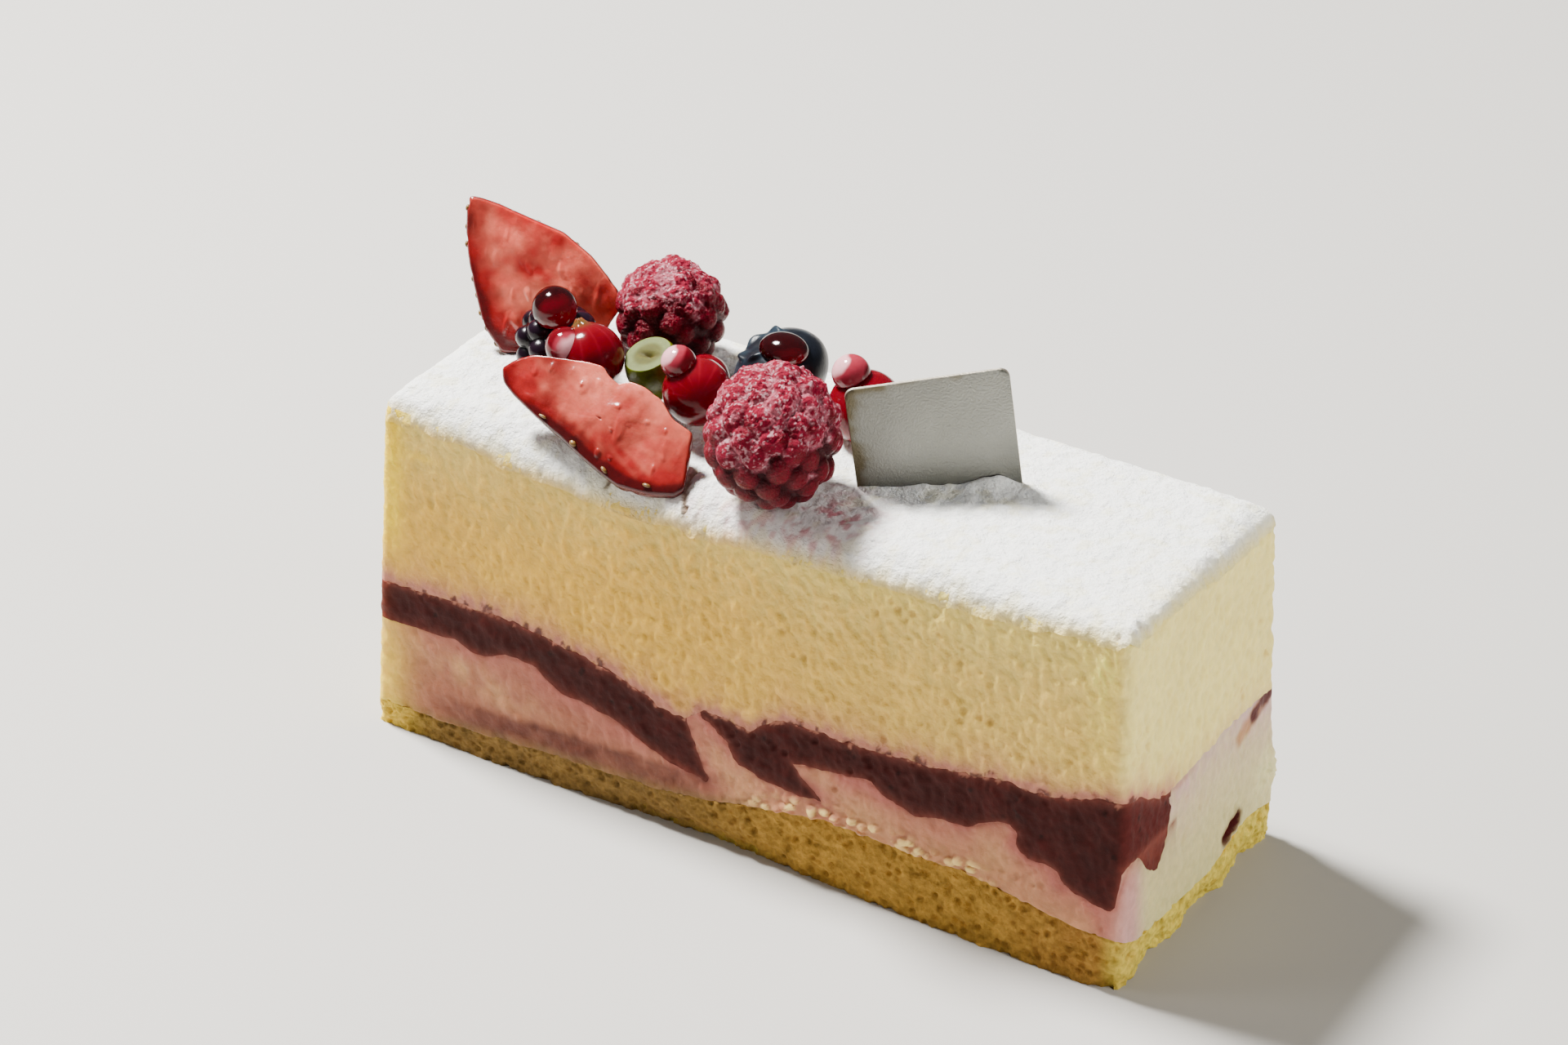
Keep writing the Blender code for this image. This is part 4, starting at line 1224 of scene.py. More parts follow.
def sugar_colour(p):
    """White with creamy patches and pink dust; the cream's colour where the powder is thin; painted
    shade in the cracks.
    """
    creamy = 0.45 * smooth(rough(p * [1, 1, 0], 1.5, 3, 84), 0.1, 0.8)
    colour = blend(SUGAR + 0 * p, SUGAR_CREAMY, creamy)
    colour = blend(colour, DUST, dusting(p))
    drop = p[:, 2] - (HEIGHT - sag(p[:, 0], p[:, 1]) - round_r(p[:, 0], p[:, 1]))
    thin = 1 - smooth(drop + 0.28 * rough(p, 1.2, 3, 89), -0.3, 3.0)
    colour = blend(colour, cream_colour(p), 0.92 * thin)
    # Painted shade in the two cracks.
    return blend(colour, CRACK_SHADE, 0.75 * cracks(*p.T))


sugar_mesh = sheet_mesh("sugar", outer, inner)
paint(sugar_mesh, sugar_colour(points_of(sugar_mesh)))
show("snow_sugar_skin", sugar_mesh, sugar_finish, ["snow_sugar_top"], sharp=60)

# %% [markdown]
# Each round fruit is a ball: rings of directions about its own axis, pushed out to a radius
# given by a formula. One formula then makes both the shape and, in the fruit's own axes, the
# colours. Sculpted primitives would do, but couldn't be changed by a number.

# %% Directions and turns
def directions(rows, cols):
    """Unit directions in rings from the lower pole to the upper, poles left out."""
    lat = (np.arange(rows) + 0.5) / rows * np.pi - np.pi / 2
    lon = np.arange(cols) / cols * 2 * np.pi
    lat, lon = np.meshgrid(lat, lon, indexing="ij")
    return np.stack([np.cos(lat) * np.cos(lon), np.cos(lat) * np.sin(lon), np.sin(lat)], -1)


def turn_to(axis):
    """Matrix that takes +Z to the axis, by the shortest turn."""
    a = np.array(axis, float) / np.linalg.norm(axis)
    v = np.cross([0, 0, 1], a)
    k = np.array([[0, -v[2], v[1]], [v[2], 0, -v[0]], [-v[1], v[0], 0]])
    return np.eye(3) + k + k @ k / (1 + a[2])


print("the pole turned towards 1, 1, 1:", (turn_to((1, 1, 1)) @ [0, 0, 1]).round(3))

# %% [markdown]
# Fruit settles on the sugar by its own weight. Points that would go below the sugar are laid on
# it, which flattens the fruit where it rests. Fruit that leans over the edge of the block may
# hang a little below the top.

# %% Balls set down on the sugar
OVERHANG = 2.0  # how far fruit beyond the edge may reach below the top, in mm


def set_down(p, lift=0.12):
    """Points under the sugar's face are raised to it; over the edge they may hang a little."""
    x, y, z = p[..., 0], p[..., 1], p[..., 2]
    face = crown(np.clip(x, -HALF_X, HALF_X), np.clip(y, -HALF_Y, HALF_Y)) + lift
    inside = (np.abs(x) < HALF_X) & (np.abs(y) < HALF_Y)
    q = p.copy()
    q[..., 2] = np.where(inside, np.maximum(z, face), np.maximum(z, HEIGHT - OVERHANG))
    return q


def ball(name, centre, size, radius_of, rows, cols, axis=(0, 0, 1), seat=True):
    """Ball with radius_of(directions) times size along its own axes, turned and set down."""
    turn = turn_to(axis)

    def place(q):
        """Directions pushed out, turned, and moved to the centre."""
        return (q * radius_of(q)[..., None] * np.array(size)) @ turn.T + np.array(centre)

    body = place(directions(steps(rows), steps(cols)))
    ends = place(np.array([[[0, 0, -1.0]], [[0, 0, 1.0]]]))
    if seat:
        body, ends = set_down(body), set_down(ends)
    return ring_mesh(name, body, ends[0], ends[1])


def local(p, centre, size, axis=(0, 0, 1)):
    """Points seen from the ball: turned back to its axes and divided by its size."""
    return ((p - np.array(centre)) @ turn_to(axis)) / np.array(size)


print("a point inside the cake is raised to", set_down(np.array([0.0, 0.0, 40.0])).round(2), "mm")

# %% [markdown]
# A raspberry is a shell of small round drupelets. Their centres are spread evenly by a golden
# angle spiral with some jitter, and in each direction the berry reaches as far as the farthest
# drupelet's sphere does. This gives one closed skin, with no spheres to join.

# %% Drupelets
def drupelets(n, reach, jitter, seed):
    """Centres on a golden-angle spiral, each nudged by up to jitter."""
    k = np.arange(n) + 0.5
    z = 1 - 2 * k / n
    turn = k * np.pi * (3 - np.sqrt(5))
    c = np.stack([np.sqrt(1 - z * z) * np.cos(turn), np.sqrt(1 - z * z) * np.sin(turn), z], 1)
    c = c + np.random.default_rng(seed).uniform(-jitter, jitter, c.shape)
    return c / np.linalg.norm(c, axis=1)[:, None] * reach


def clustered(centres, grain, core, phase=0):
    """Radius in a direction: the farthest of the drupelet spheres that the ray meets."""
    def radius_of(d):
        """The farther root t of |t d - c| = g for each centre c, or core where none is met."""
        out = np.full(d.shape[:-1], core)
        for k, c in enumerate(centres):
            g = grain * (1 + 0.14 * np.sin(k * 2.4 + phase))
            along = d @ c
            inside = g * g - (c @ c - along * along)
            out = np.maximum(out, np.where(inside > 0, along + np.sqrt(np.maximum(inside, 0)), 0))
        return out
    return radius_of


print("three of 72 drupelets:", drupelets(72, 0.79, 0.08, 5)[:3].round(2))

# %% [markdown]
# These raspberries were frozen. Frost lies on their upper side, fills half the grooves there and
# makes the crowns crusty, while the underside stays wine red and wet. Shape and colour both use
# a fading random patch, so they don't end in a line.

# %% Shape of a frosted berry
def frosted_shape(centres, grain, core, seed):
    """Drupelets below; above, frost fills half the grooves and makes the crowns crusty."""
    berry = clustered(centres, grain, core)

    def radius_of(d):
        """The drupelets' reach, drawn half way to 0.99 under the crust, plus fine noise."""
        crust = smooth(d[..., 2] + 0.45 * noise(d, 0.5, seed), -0.25, 0.45)
        r = berry(d)
        r = r + crust * 0.45 * (0.99 - r) + 0.035 * noise(d, 0.55, seed + 1)
        fine = 0.034 * rough(d, 0.17, 3, seed + 2) + 0.016 * rough(d, 0.05, 2, seed + 6)
        return r + crust * fine + 0.004 * rough(d, 0.07, 2, seed + 3)
    return radius_of


sides = frosted_shape(drupelets(72, 0.79, 0.08, 5), 0.245, 0.865, 5)(np.eye(3))
print("reach of a frosted berry along x, y and z:", sides.round(2))

# %% Colour of a frosted berry
WINE = np.array([0.030, 0.0002, 0.0026])
RED = np.array([0.130, 0.0004, 0.0080])
FROST = np.array([0.180, 0.0028, 0.0190])
RIME = np.array([0.34, 0.095, 0.125])
CRYSTAL = np.array([0.72, 0.46, 0.50])


def frosted(p, q, up, seed, cover):
    """Red drupelets with painted shade of wine red in the grooves and deep pits; pink frost where it
    faces up, white rime in hollows and on ridges.
    """
    out = np.linalg.norm(q, axis=1)
    # Painted shade: wine red deep in the grooves, red on the drupelets.
    colour = blend(WINE + 0 * p, RED, smooth(out, 0.88, 1.02) * 0.9)
    vein = smooth(0.10 - np.abs(noise(p, 1.6, seed + 7)), 0.0, 0.10)
    colour = blend(colour, FROST, 0.35 * vein)
    frost = smooth(up + 0.55 * rough(p, 2.2, 3, seed), cover, cover + 0.30)
    colour = blend(colour, FROST, frost * (0.80 + 0.3 * noise(p, 0.8, seed + 4)))
    groove = 1 - smooth(out, 0.915, 0.985)
    ridge = smooth(0.9 * rough(p, 0.7, 3, seed + 3) + 0.75 * groove + 0.15 * up, 0.20, 0.80)
    colour = blend(colour, RIME, 0.75 * ridge * frost)
    crystal = smooth(rough(p, 0.30, 2, seed + 8), 0.35, 0.60)
    colour = blend(colour, CRYSTAL, 0.40 * crystal * frost)
    # Painted shade in deep pits.
    pit_shade = smooth(0.915 - out, 0.0, 0.04) * smooth(noise(p, 2.2, seed + 5), 0.10, 0.4)
    return blend(colour, WINE, 0.9 * pit_shade), frost


print("rime against frost:", (RIME / FROST).round(1))

# %% Raspberries
def frosted_berry(node, centre, size, count, seed, cover, rows):
    """A raspberry in the place of its node; frost starts where a point faces up past cover."""
    centres = drupelets(count, reach=0.79, jitter=0.08, seed=seed)
    shape = frosted_shape(centres, grain=0.245, core=0.865, seed=seed)
    mesh = ball(node + "_skin", centre, size, shape, rows, round(1.4 * rows))
    p = points_of(mesh)
    q = local(p, centre, size)
    up = q[:, 2] * 0.9 - q[:, 0] * 0.25 + 0.1
    paint(mesh, *frosted(p, q, up, seed, cover))
    show(mesh.name, mesh, raspberry_finish, [node])


frosted_berry("raspberry_front", (2.15, -13.2, 55.1), (7.75, 7.75, 8.6),
              count=72, seed=5, cover=-0.10, rows=255)
frosted_berry("raspberry_rear", (-25.4, 6.9, 54.0), (6.8, 6.8, 6.8),
              count=56, seed=12, cover=0.38, rows=220)

# %% [markdown]
# The bramble berry is built as the raspberries are, with fewer and bigger drupelets and no
# frost. It is nearly black, with painted shade darker still in the gaps between its drupelets, so
# only its crowns are a little lighter and its gloss does the work.

# %% Bramble berry
BRAMBLE_AT, BRAMBLE_SIZE = (-35.4, -3.3, 51.7), (5.15, 5.15, 4.9)
BRAMBLE_GAP_SHADE = np.array([0.0020, 0.0007, 0.0016])
BRAMBLE_CROWN = np.array([0.0080, 0.0025, 0.0070])

centres = drupelets(30, reach=0.72, jitter=0.08, seed=3)
shape = clustered(centres, grain=0.345, core=0.84, phase=2)
bramble_mesh = ball("bramble", BRAMBLE_AT, BRAMBLE_SIZE, shape, 130, 180)
q = local(points_of(bramble_mesh), BRAMBLE_AT, BRAMBLE_SIZE)
# Painted shade: darker between the drupelets, a little lighter on their crowns.
crownness = smooth(np.linalg.norm(q, axis=1), 0.86, 1.04)
paint(bramble_mesh, blend(BRAMBLE_GAP_SHADE + 0 * q, BRAMBLE_CROWN, crownness))
show("bramble_skin", bramble_mesh, bramble_finish, ["bramble_berry"])

# %% [markdown]
# Redcurrants are glossy and let light through. A near-perfect ball with faint meridian veins is
# enough for them, and the left one still has its dried flower end, a tuft raised at its pole.
# Their places are kept in a table, because drops of glaze will lie on three of them.

# %% Redcurrants
CURRANT = np.array([0.105, 0.0006, 0.0045])
CURRANT_LIGHT = np.array([0.26, 0.008, 0.020])
CALYX = np.array([0.09, 0.055, 0.015])
CURRANTS = {  # centre, radius, axis, height of the flower end as a share of the radius
    "redcurrant_left": ((-27.5, -7.6, 54.0), 4.2, (-0.35, 0.1, 0.9), 0.22),
    "redcurrant_mid_front": ((-13.2, -6.1, 53.0), 4.1, (0.5, -0.7, 0.3), 0.0),
    "redcurrant_mid_rear": ((-17.0, 1.5, 50.1), 2.9, (0.2, 0.3, 0.9), 0.0),
    "redcurrant_right": ((4.15, 3.6, 51.6), 4.5, (-0.3, -0.6, 0.4), 0.0)}


def currant(node, centre, r, axis, calyx):
    """Ball with faint veins; calyx adds a dry brown tuft at its pole."""
    def radius_of(d):
        """1, less a shallow dip at the pole, plus a tuft with five lobes there."""
        polar = np.arccos(np.clip(d[..., 2], -1, 1))
        spin = np.arctan2(d[..., 1], d[..., 0])
        lobes = 0.75 + 0.25 * np.cos(5 * spin) * smooth(polar, 0, 0.1)
        tuft = calyx * bell(polar, 0.0, 0.17) * lobes
        return 1.0 + 0.010 * rough(d, 0.9, 2, 7) - 0.02 * bell(polar, 0.0, 0.5) + tuft
    mesh = ball(node + "_skin", centre, (r, r, r), radius_of, 110, 150, axis)
    q = local(points_of(mesh), centre, (r, r, r), axis)
    spin = np.arctan2(q[:, 1], q[:, 0])
    polar = np.arccos(np.clip(q[:, 2] / np.linalg.norm(q, axis=1), -1, 1))
    veins = np.abs(np.cos(6 * spin)) ** 30 * smooth(np.sin(polar), 0.1, 0.6)
    colour = blend(CURRANT + 0 * q, CURRANT_LIGHT, 0.25 * veins + 0.12 * noise(q, 0.5, 9))
    paint(mesh, blend(colour, CALYX, (calyx > 0) * bell(polar, 0.0, 0.24) * 1.3))
    show(mesh.name, mesh, currant_finish, [node])


for node, place in CURRANTS.items():
    currant(node, *place)

# %% [markdown]
# The blueberry is a slightly flattened ball. At its pole is a dimple inside a low crown of five
# points, both bells of the angle from the pole. A pale waxy bloom lies in patches over its
# blue-black skin.

# %% Blueberry
BLUE_AXIS = (-0.5, -0.25, 0.83)
BLUE_AT, BLUE_SIZE = (-8.5, 4.8, 52.0), (6.05, 6.05, 4.75)
BLUE_BLACK = np.array([0.004, 0.005, 0.008])
BLOOM = np.array([0.022, 0.040, 0.058])


def blueberry_radius(d):
    """Ball with a dimple at its pole inside a low ring of five points."""
    polar = np.arccos(np.clip(d[..., 2], -1, 1))
    spin = np.arctan2(d[..., 1], d[..., 0])
    ring = 0.12 * bell(polar, 0.46, 0.07) * (0.55 + 0.45 * np.cos(5 * spin))
    return 1.0 - 0.16 * bell(polar, 0.0, 0.3) + ring + 0.012 * rough(d, 0.7, 2, 13)


blue_mesh = ball("blueberry", BLUE_AT, BLUE_SIZE, blueberry_radius, 130, 190, BLUE_AXIS)
q = local(points_of(blue_mesh), BLUE_AT, BLUE_SIZE, BLUE_AXIS)
round_crown = 0.6 * bell(np.linalg.norm(q[:, :2], axis=1), 0.45, 0.3)
bloom = 0.55 * smooth(rough(q, 0.6, 3, 15) + round_crown, 0.15, 1.0)
paint(blue_mesh, blend(BLUE_BLACK + 0 * q, BLOOM, bloom))
show("blueberry_skin", blue_mesh, blueberry_finish, ["blueberry"])

# %% [markdown]
# The green berry is cut in half. The ball's radius is capped by a plane across its axis, with a
# long small hollow in the cut where the pips were. The cut is dry and matt and the skin wet, and
# the tint's alpha says which is which.

# %% Halved green berry
GREEN_AXIS = (-0.16, -0.35, 0.92)
GREEN_AT, GREEN_SIZE = (-20.7, -3.9, 52.9), (3.45, 3.45, 4.2)
GREEN_FLAT = 0.548  # how far along its axis the berry is cut, as a share of its size
GREEN_SKIN = np.array([0.120, 0.135, 0.009])
GREEN_SHADE = np.array([0.060, 0.075, 0.006])
GREEN_CUT = np.array([0.055, 0.055, 0.006])
GREEN_RIM = np.array([0.105, 0.125, 0.040])
GREEN_HOLLOW = np.array([0.055, 0.042, 0.006])


def green_radius(d):
    """Ball cut off at GREEN_FLAT along its axis, with a small hollow in the cut."""
    flat = GREEN_FLAT / np.maximum(d[..., 2], 0.05)
    across = np.hypot(d[..., 0] * 0.8, d[..., 1] * 2.4) * np.minimum(1.0, flat)
    hollow = 0.16 * bell(across, 0.0, 0.30) * (d[..., 2] > 0)
    return np.minimum(1.0, flat) - hollow


def green_colour(q):
    """Mottled green skin; a duller cut with a lighter rim and a brown hollow; and the cut's share."""
    reach = np.hypot(q[:, 0], q[:, 1])
    across = np.hypot(q[:, 0] * 0.8, q[:, 1] * 2.4)
    on_cut = smooth(q[:, 2], 0.36, 0.52) * (reach < 0.83)
    colour = blend(GREEN_SKIN + 0 * q, GREEN_SHADE, 0.5 + 0.5 * noise(q, 0.4, 17))
    colour = blend(colour, GREEN_CUT, on_cut)
    colour = blend(colour, GREEN_RIM, on_cut * smooth(reach, 0.42, 0.64))
    return blend(colour, GREEN_HOLLOW, bell(across, 0, 0.30) * (q[:, 2] > 0.2)), on_cut


green_mesh = ball("green_half", GREEN_AT, GREEN_SIZE, green_radius, 150, 150, GREEN_AXIS)
paint(green_mesh, *green_colour(local(points_of(green_mesh), GREEN_AT, GREEN_SIZE, GREEN_AXIS)))
show("green_half_skin", green_mesh, green_finish, ["green_berry_half"])

# %% [markdown]
# A cut strawberry is a flat, slightly wavy face with a skin that swells behind it. Both are
# polar grids on the same outline: the face goes out from the middle to the rim, and the skin
# goes on round the back. Each outline is a closed line in space, since the faces lean.

# %% Outlines of the strawberries
REAR_OUTLINE = [
    (-43.9, -2.9, 47.6), (-45.2, -3.0, 49.1), (-46.4, -3.1, 50.6), (-47.4, -2.6, 52.9),
    (-48.3, -2.2, 55.2), (-49.4, -1.6, 58.0), (-50.2, -0.9, 60.8), (-50.7, 0.1, 64.1),
    (-50.7, 0.8, 65.5), (-49.3, 1.4, 65.3), (-47.5, 2.2, 64.7), (-43.8, 3.7, 63.1),
    (-40.0, 5.2, 61.6), (-36.5, 6.1, 58.9), (-34.4, 6.4, 56.6), (-33.0, 6.5, 55.0),
    (-32.1, 6.5, 53.6), (-33.2, 4.9, 51.2), (-33.6, 3.6, 48.9), (-35.7, 1.9, 47.6),
    (-39.5, -0.5, 47.3)]
FRONT_OUTLINE = [
    (-34.8, -15.2, 54.0), (-33.5, -14.2, 55.0), (-31.6, -13.3, 55.8), (-29.4, -12.8, 56.0),
    (-27.1, -12.3, 56.1), (-24.9, -11.8, 56.2), (-22.8, -11.5, 56.1), (-21.6, -12.0, 55.3),
    (-20.1, -12.1, 54.7), (-18.9, -11.5, 55.2), (-17.0, -11.4, 55.0), (-14.4, -11.6, 54.1),
    (-12.3, -12.5, 52.6), (-9.5, -12.6, 51.7), (-8.9, -14.2, 49.5), (-8.6, -15.4, 47.8),
    (-8.3, -16.4, 46.3), (-9.2, -17.1, 45.6), (-12.6, -18.0, 45.2), (-16.2, -18.5, 45.4),
    (-18.8, -18.3, 46.2), (-22.7, -17.8, 47.7), (-24.9, -17.5, 48.7), (-28.5, -17.1, 50.1),
    (-30.6, -16.7, 50.9), (-32.6, -16.4, 51.8), (-34.1, -16.0, 52.7)]


def evenly(line, n):
    """n points evenly spaced round a line whose last point is its first again."""
    s = np.concatenate([[0], np.cumsum(np.linalg.norm(np.diff(line, axis=0), axis=1))])
    at = np.arange(n) / n * s[-1]
    return np.stack([np.interp(at, s, line[:, k]) for k in range(3)], 1)


def closed_line(points, n):
    """n points evenly spaced round a closed line, rounded by a short running mean."""
    p = np.array(points, float)
    out = evenly(np.vstack([p, p[:1]]), n)
    for _ in range(3):
        out = (np.roll(out, 1, 0) + 2 * out + np.roll(out, -1, 0)) / 4
    return out


print("points round a rim:", len(closed_line(FRONT_OUTLINE, steps(260))))

# %% [markdown]
# The face isn't quite flat: it is a shallow dome with ripples where the knife passed through
# firm and soft flesh. The skin bulges back by a rounded law, and shallow dimples for the seeds
# are pressed into it.

# %% Face and skin
DOME = 0.45  # how far the middle of a face stands proud of its rim, in mm


def face_axes(rim, back):
    """Unit vectors of a cut face: along it to the left, over it upwards, and out of it."""
    _, _, v = np.linalg.svd(rim - rim.mean(0))
    along = v[0] * (-1 if v[0][0] > 0 else 1)
    over = v[1] * (-1 if v[1][2] < 0 else 1)
    return along, over, v[2] * (1 if v[2] @ back < 0 else -1)


def strawberry_face(rim, toward, waves, seed):
    """Rings from the middle to the rim, domed and rippled along toward; and each ring's share."""
    middle = rim.mean(0)
    share = np.linspace(0.03, 0.975, steps(60))[:, None, None]
    face = middle + (rim - middle) * share
    firm = smooth(noise(face, (1.5, 1.5, 5.0), seed + 5), 0.3, 0.8)
    soft = smooth(noise(face, (0.9, 0.9, 3.4), seed + 6), 0.45, 0.85)
    ripple = rough(face, 5.0, 3, seed) + 0.45 * firm + 0.8 * soft
    dome = DOME * (1 - share[..., 0] ** 2) + waves * ripple * (1 - share[..., 0] ** 3)
    return face + toward * dome[..., None], share[:, 0, 0]


def strawberry_skin(rim, back, seed):
    """Rings from the rim round the back, (1 - k^2.2)^0.5 wide at depth k; and each ring's k."""
    middle = rim.mean(0)
    k = np.sin(np.linspace(0.04, np.pi / 2 - 0.03, steps(56)))[:, None, None]
    skin = middle + (rim - middle) * (1 - k ** 2.2) ** 0.5 + back * k
    outward = rim - middle
    outward = outward / np.linalg.norm(outward, axis=1)[:, None]
    dimple = smooth(0.34 - cells(skin, 2.3, seed), 0.0, 0.22)
    return skin - outward * (0.22 * dimple)[..., None], k[:, 0, 0]


tilt = face_axes(closed_line(FRONT_OUTLINE, 200), np.array([0.4, 1.6, -3.8]))[2]
print("the front face looks towards", tilt.round(2))

# %% [markdown]
# The flesh is pale in blotches and towards the top, with lighter veins that fan out to the rim,
# and red at the rim and the tip. The two berries differ: the rear one is pale and ripe only at
# its edge, and the front one is redder with a red tip. So the shares of these are parameters.

# %% Colour of the strawberries
FLESH = np.array([0.27, 0.010, 0.010])
FLESH_PALE = np.array([0.57, 0.128, 0.082])
FLESH_RED = np.array([0.135, 0.0012, 0.0025])
SKIN_RED = np.array([0.110, 0.0012, 0.0025])
SKIN_DEEP = np.array([0.040, 0.0006, 0.0012])


def flesh_colour(p, rows, along, over, veins, mottle, seed, red_tip, pallor, blotch, fade):
    """Flesh by its share of the way out (rows) and its place -1..1 along and over the face."""
    pale = pallor + blotch * mottle + 0.20 * rough(p, 1.6, 2, seed + 3)
    pale = pale + 0.25 * veins * bell(rows, 0.60, 0.25) * red_tip + fade * over
    flesh = blend(FLESH + 0 * p, FLESH_PALE, pale)
    open_end = red_tip * smooth(-along, 0.2, 0.8)
    rim = smooth(rows + 0.22 * mottle - 0.35 * over - 0.35 * open_end, 0.62, 1.0)
    flesh = blend(flesh, FLESH_RED, 0.8 * rim)
    flesh = blend(flesh, FLESH_RED, red_tip * smooth(along + 0.3 * mottle, 0.35, 0.9))
    return blend(flesh, SKIN_DEEP, 0.9 * smooth(rows - 0.35 * over + 0.12 * mottle, 0.94, 1.12))


print("pale flesh against red flesh:", (FLESH_PALE / FLESH).round(1))

# %% Cut strawberries
def cut_strawberry(node, outline, back, waves, seed, painted_light_gain, **look):
    """Face rings, then skin rings along the vector back; the flesh's brightness is scaled as painted
    light.
    """
    back = np.array(back)
    rim = closed_line(outline, steps(260))
    middle, n = rim.mean(0), len(rim)
    along, over, toward = face_axes(rim, back)
    face, share = strawberry_face(rim, toward, waves, seed)
    skin, depth = strawberry_skin(rim, back, seed)
    rings = np.concatenate([face, set_down(skin)])
    low, high = (middle + toward * DOME)[None], set_down((middle + back)[None])
    mesh = ring_mesh(node + "_skin", rings, low, high)
    p = points_of(mesh)
    rows = np.concatenate([np.repeat(share, n), np.full(len(skin) * n, 2.0), [0.0, 2.0]])
    depth = np.concatenate([np.zeros(len(face) * n), np.repeat(depth, n), [0.0, 1.0]])
    spin = np.concatenate([np.tile(np.arange(n) / n * 2 * np.pi, len(rings)), [0.0, 0.0]])
    veins = np.abs(np.sin(9 * spin + 2.5 * noise(p, 5.0, seed + 1))) ** 3
    mottle = rough(p, 4.5, 3, seed + 2)
    place = [(p - middle) @ v / np.abs((rim - middle) @ v).max() for v in (along, over)]
    # Painted light: the flesh is scaled brighter or darker as a whole.
    flesh = painted_light_gain * flesh_colour(p, rows, *place, veins, mottle, seed, **look)
    hide = blend(SKIN_RED + 0 * p, SKIN_DEEP, 0.35 + 0.5 * mottle + 0.3 * depth)
    paint(mesh, np.where((rows > 1.5)[:, None], hide, flesh))
    show(mesh.name, mesh, strawberry_finish, [node])
    return face, skin


# The rear berry's flesh is painted 1.75 times brighter, a painted glow of light coming through it, and
# the front one's a little darker.
_, rear_skin = cut_strawberry(
    "strawberry_rear", REAR_OUTLINE, (-2.4, 4.6, -1.6), waves=0.25, seed=101, painted_light_gain=1.75,
    red_tip=0.2, pallor=0.50, blotch=0.95, fade=0.40)
front_face, _ = cut_strawberry(
    "strawberry_front", FRONT_OUTLINE, (0.4, 1.6, -3.8), waves=0.34, seed=111, painted_light_gain=0.95,
    red_tip=0.9, pallor=0.32, blotch=0.30, fade=0.62)

# %% [markdown]
# The rear berry's seeds sit in the dimples of its skin, just behind the cut rim. On the front
# berry a few show at the lower edge of the face. Each is a small almond of a few short rings,
# turned to lie on the grid beneath it, and all are joined into a single piece.

# %% Almonds on a grid
SEED = np.array([0.15, 0.075, 0.014])
ALMOND_ROWS, ALMOND_COLS = 5, 8
ALMOND_POINTS = ALMOND_ROWS * ALMOND_COLS + 2


def almonds(grid, spots, size):
    """Points of one almond at each spot (share of the rings, share of the way round) of a grid."""
    rows, n = grid.shape[:2]
    round_points = directions(ALMOND_ROWS, ALMOND_COLS).reshape(-1, 3)
    unit = np.vstack([round_points, [[0, 0, -1.0]], [[0, 0, 1.0]]])
    points = []
    for row, place in spots:
        r, i = int(row * (rows - 1)), int(place * n) % n
        side = grid[r, (i + 2) % n] - grid[r, i - 2]
        back = grid[min(r + 2, rows - 1), i] - grid[max(r - 2, 0), i]
        side, back = side / np.linalg.norm(side), back / np.linalg.norm(back)
        out = np.cross(side, back)
        out = out / np.linalg.norm(out)
        if out @ (grid[r, i] - grid.mean((0, 1))) < 0:
            out = -out
        axes = np.stack([side * size[0], back * size[1], out * size[2]])
        points.append(unit @ axes + grid[r, i] + out * 0.12)
    return np.vstack(points)


print("points of one almond:", ALMOND_POINTS)

# %% Strawberry seeds
front_spots = [(0.93, u) for u in (0.60, 0.70, 0.79, 0.88)]
rear_spots = [(0.07 + 0.03 * (k % 2), 0.035 * k + 0.02) for k in range(9)]
rear_spots += [(row, u + shift) for row, shift in ((0.30, 0.0), (0.50, 0.02), (0.72, 0.04))
               for u in np.linspace(0, 0.93, 11)]
verts = np.vstack([almonds(front_face, front_spots, (0.50, 0.36, 0.30)),
                   almonds(rear_skin, rear_spots, (0.42, 0.34, 0.24))])
first = np.arange(len(verts) // ALMOND_POINTS)[:, None, None] * ALMOND_POINTS
quads, tris = ring_faces(ALMOND_ROWS, ALMOND_COLS)
seed_mesh = mesh_of("seeds", verts, (quads + first).reshape(-1, 4), (tris + first).reshape(-1, 3))
paint(seed_mesh, SEED * (1 + 0.25 * noise(verts, 0.8, 121))[:, None])
show("strawberry_seeds", seed_mesh, seed_finish, [])

# %% [markdown]
# The clear beads on the fruit are drops of glaze. A bead is a ball too, except that towards its
# fruit it stops at the fruit's skin: the ray from its centre meets the fruit's ellipsoid where a
# quadratic is zero. So the two don't run through each other.

# %% Shape of a bead
def stopped_by(centre, size, host_at, host_size, host_axis):
    """Radius 1, or less where the ray from the centre meets the host's ellipsoid first."""
    turn = turn_to(host_axis)
    start = (np.array(centre) - np.array(host_at)) @ turn / np.array(host_size)

    def radius_of(d):
        """The nearer root t of |start + t ray| = 1, where it lies between 0 and 1, else 1."""
        ray = (d * np.array(size)) @ turn / np.array(host_size)
        b = ray @ start
        a = (ray * ray).sum(-1)
        under = b * b - a * (start @ start - 1.0)
        hit = (-b - np.sqrt(np.maximum(under, 0))) / a
        return np.where((under > 0) & (hit > 0), np.minimum(1.0, hit), 1.0)
    return radius_of


beside = stopped_by((5, 0, 0), (2, 2, 2), (0, 0, 0), (4, 4, 4), (0, 0, 1))
print("a 2 mm drop that starts 1 mm off its fruit reaches", beside(np.array([-1.0, 0, 0])), "of 2 mm")

# %% [markdown]
# Real glaze refracts what lies behind it, which a baked part can't do. So what it shows is
# painted: on most beads a pink lit side with a pale painted reflection, a red far rim and dark
# dots, and on the clear ones a dark body with red light gathered on the far side.

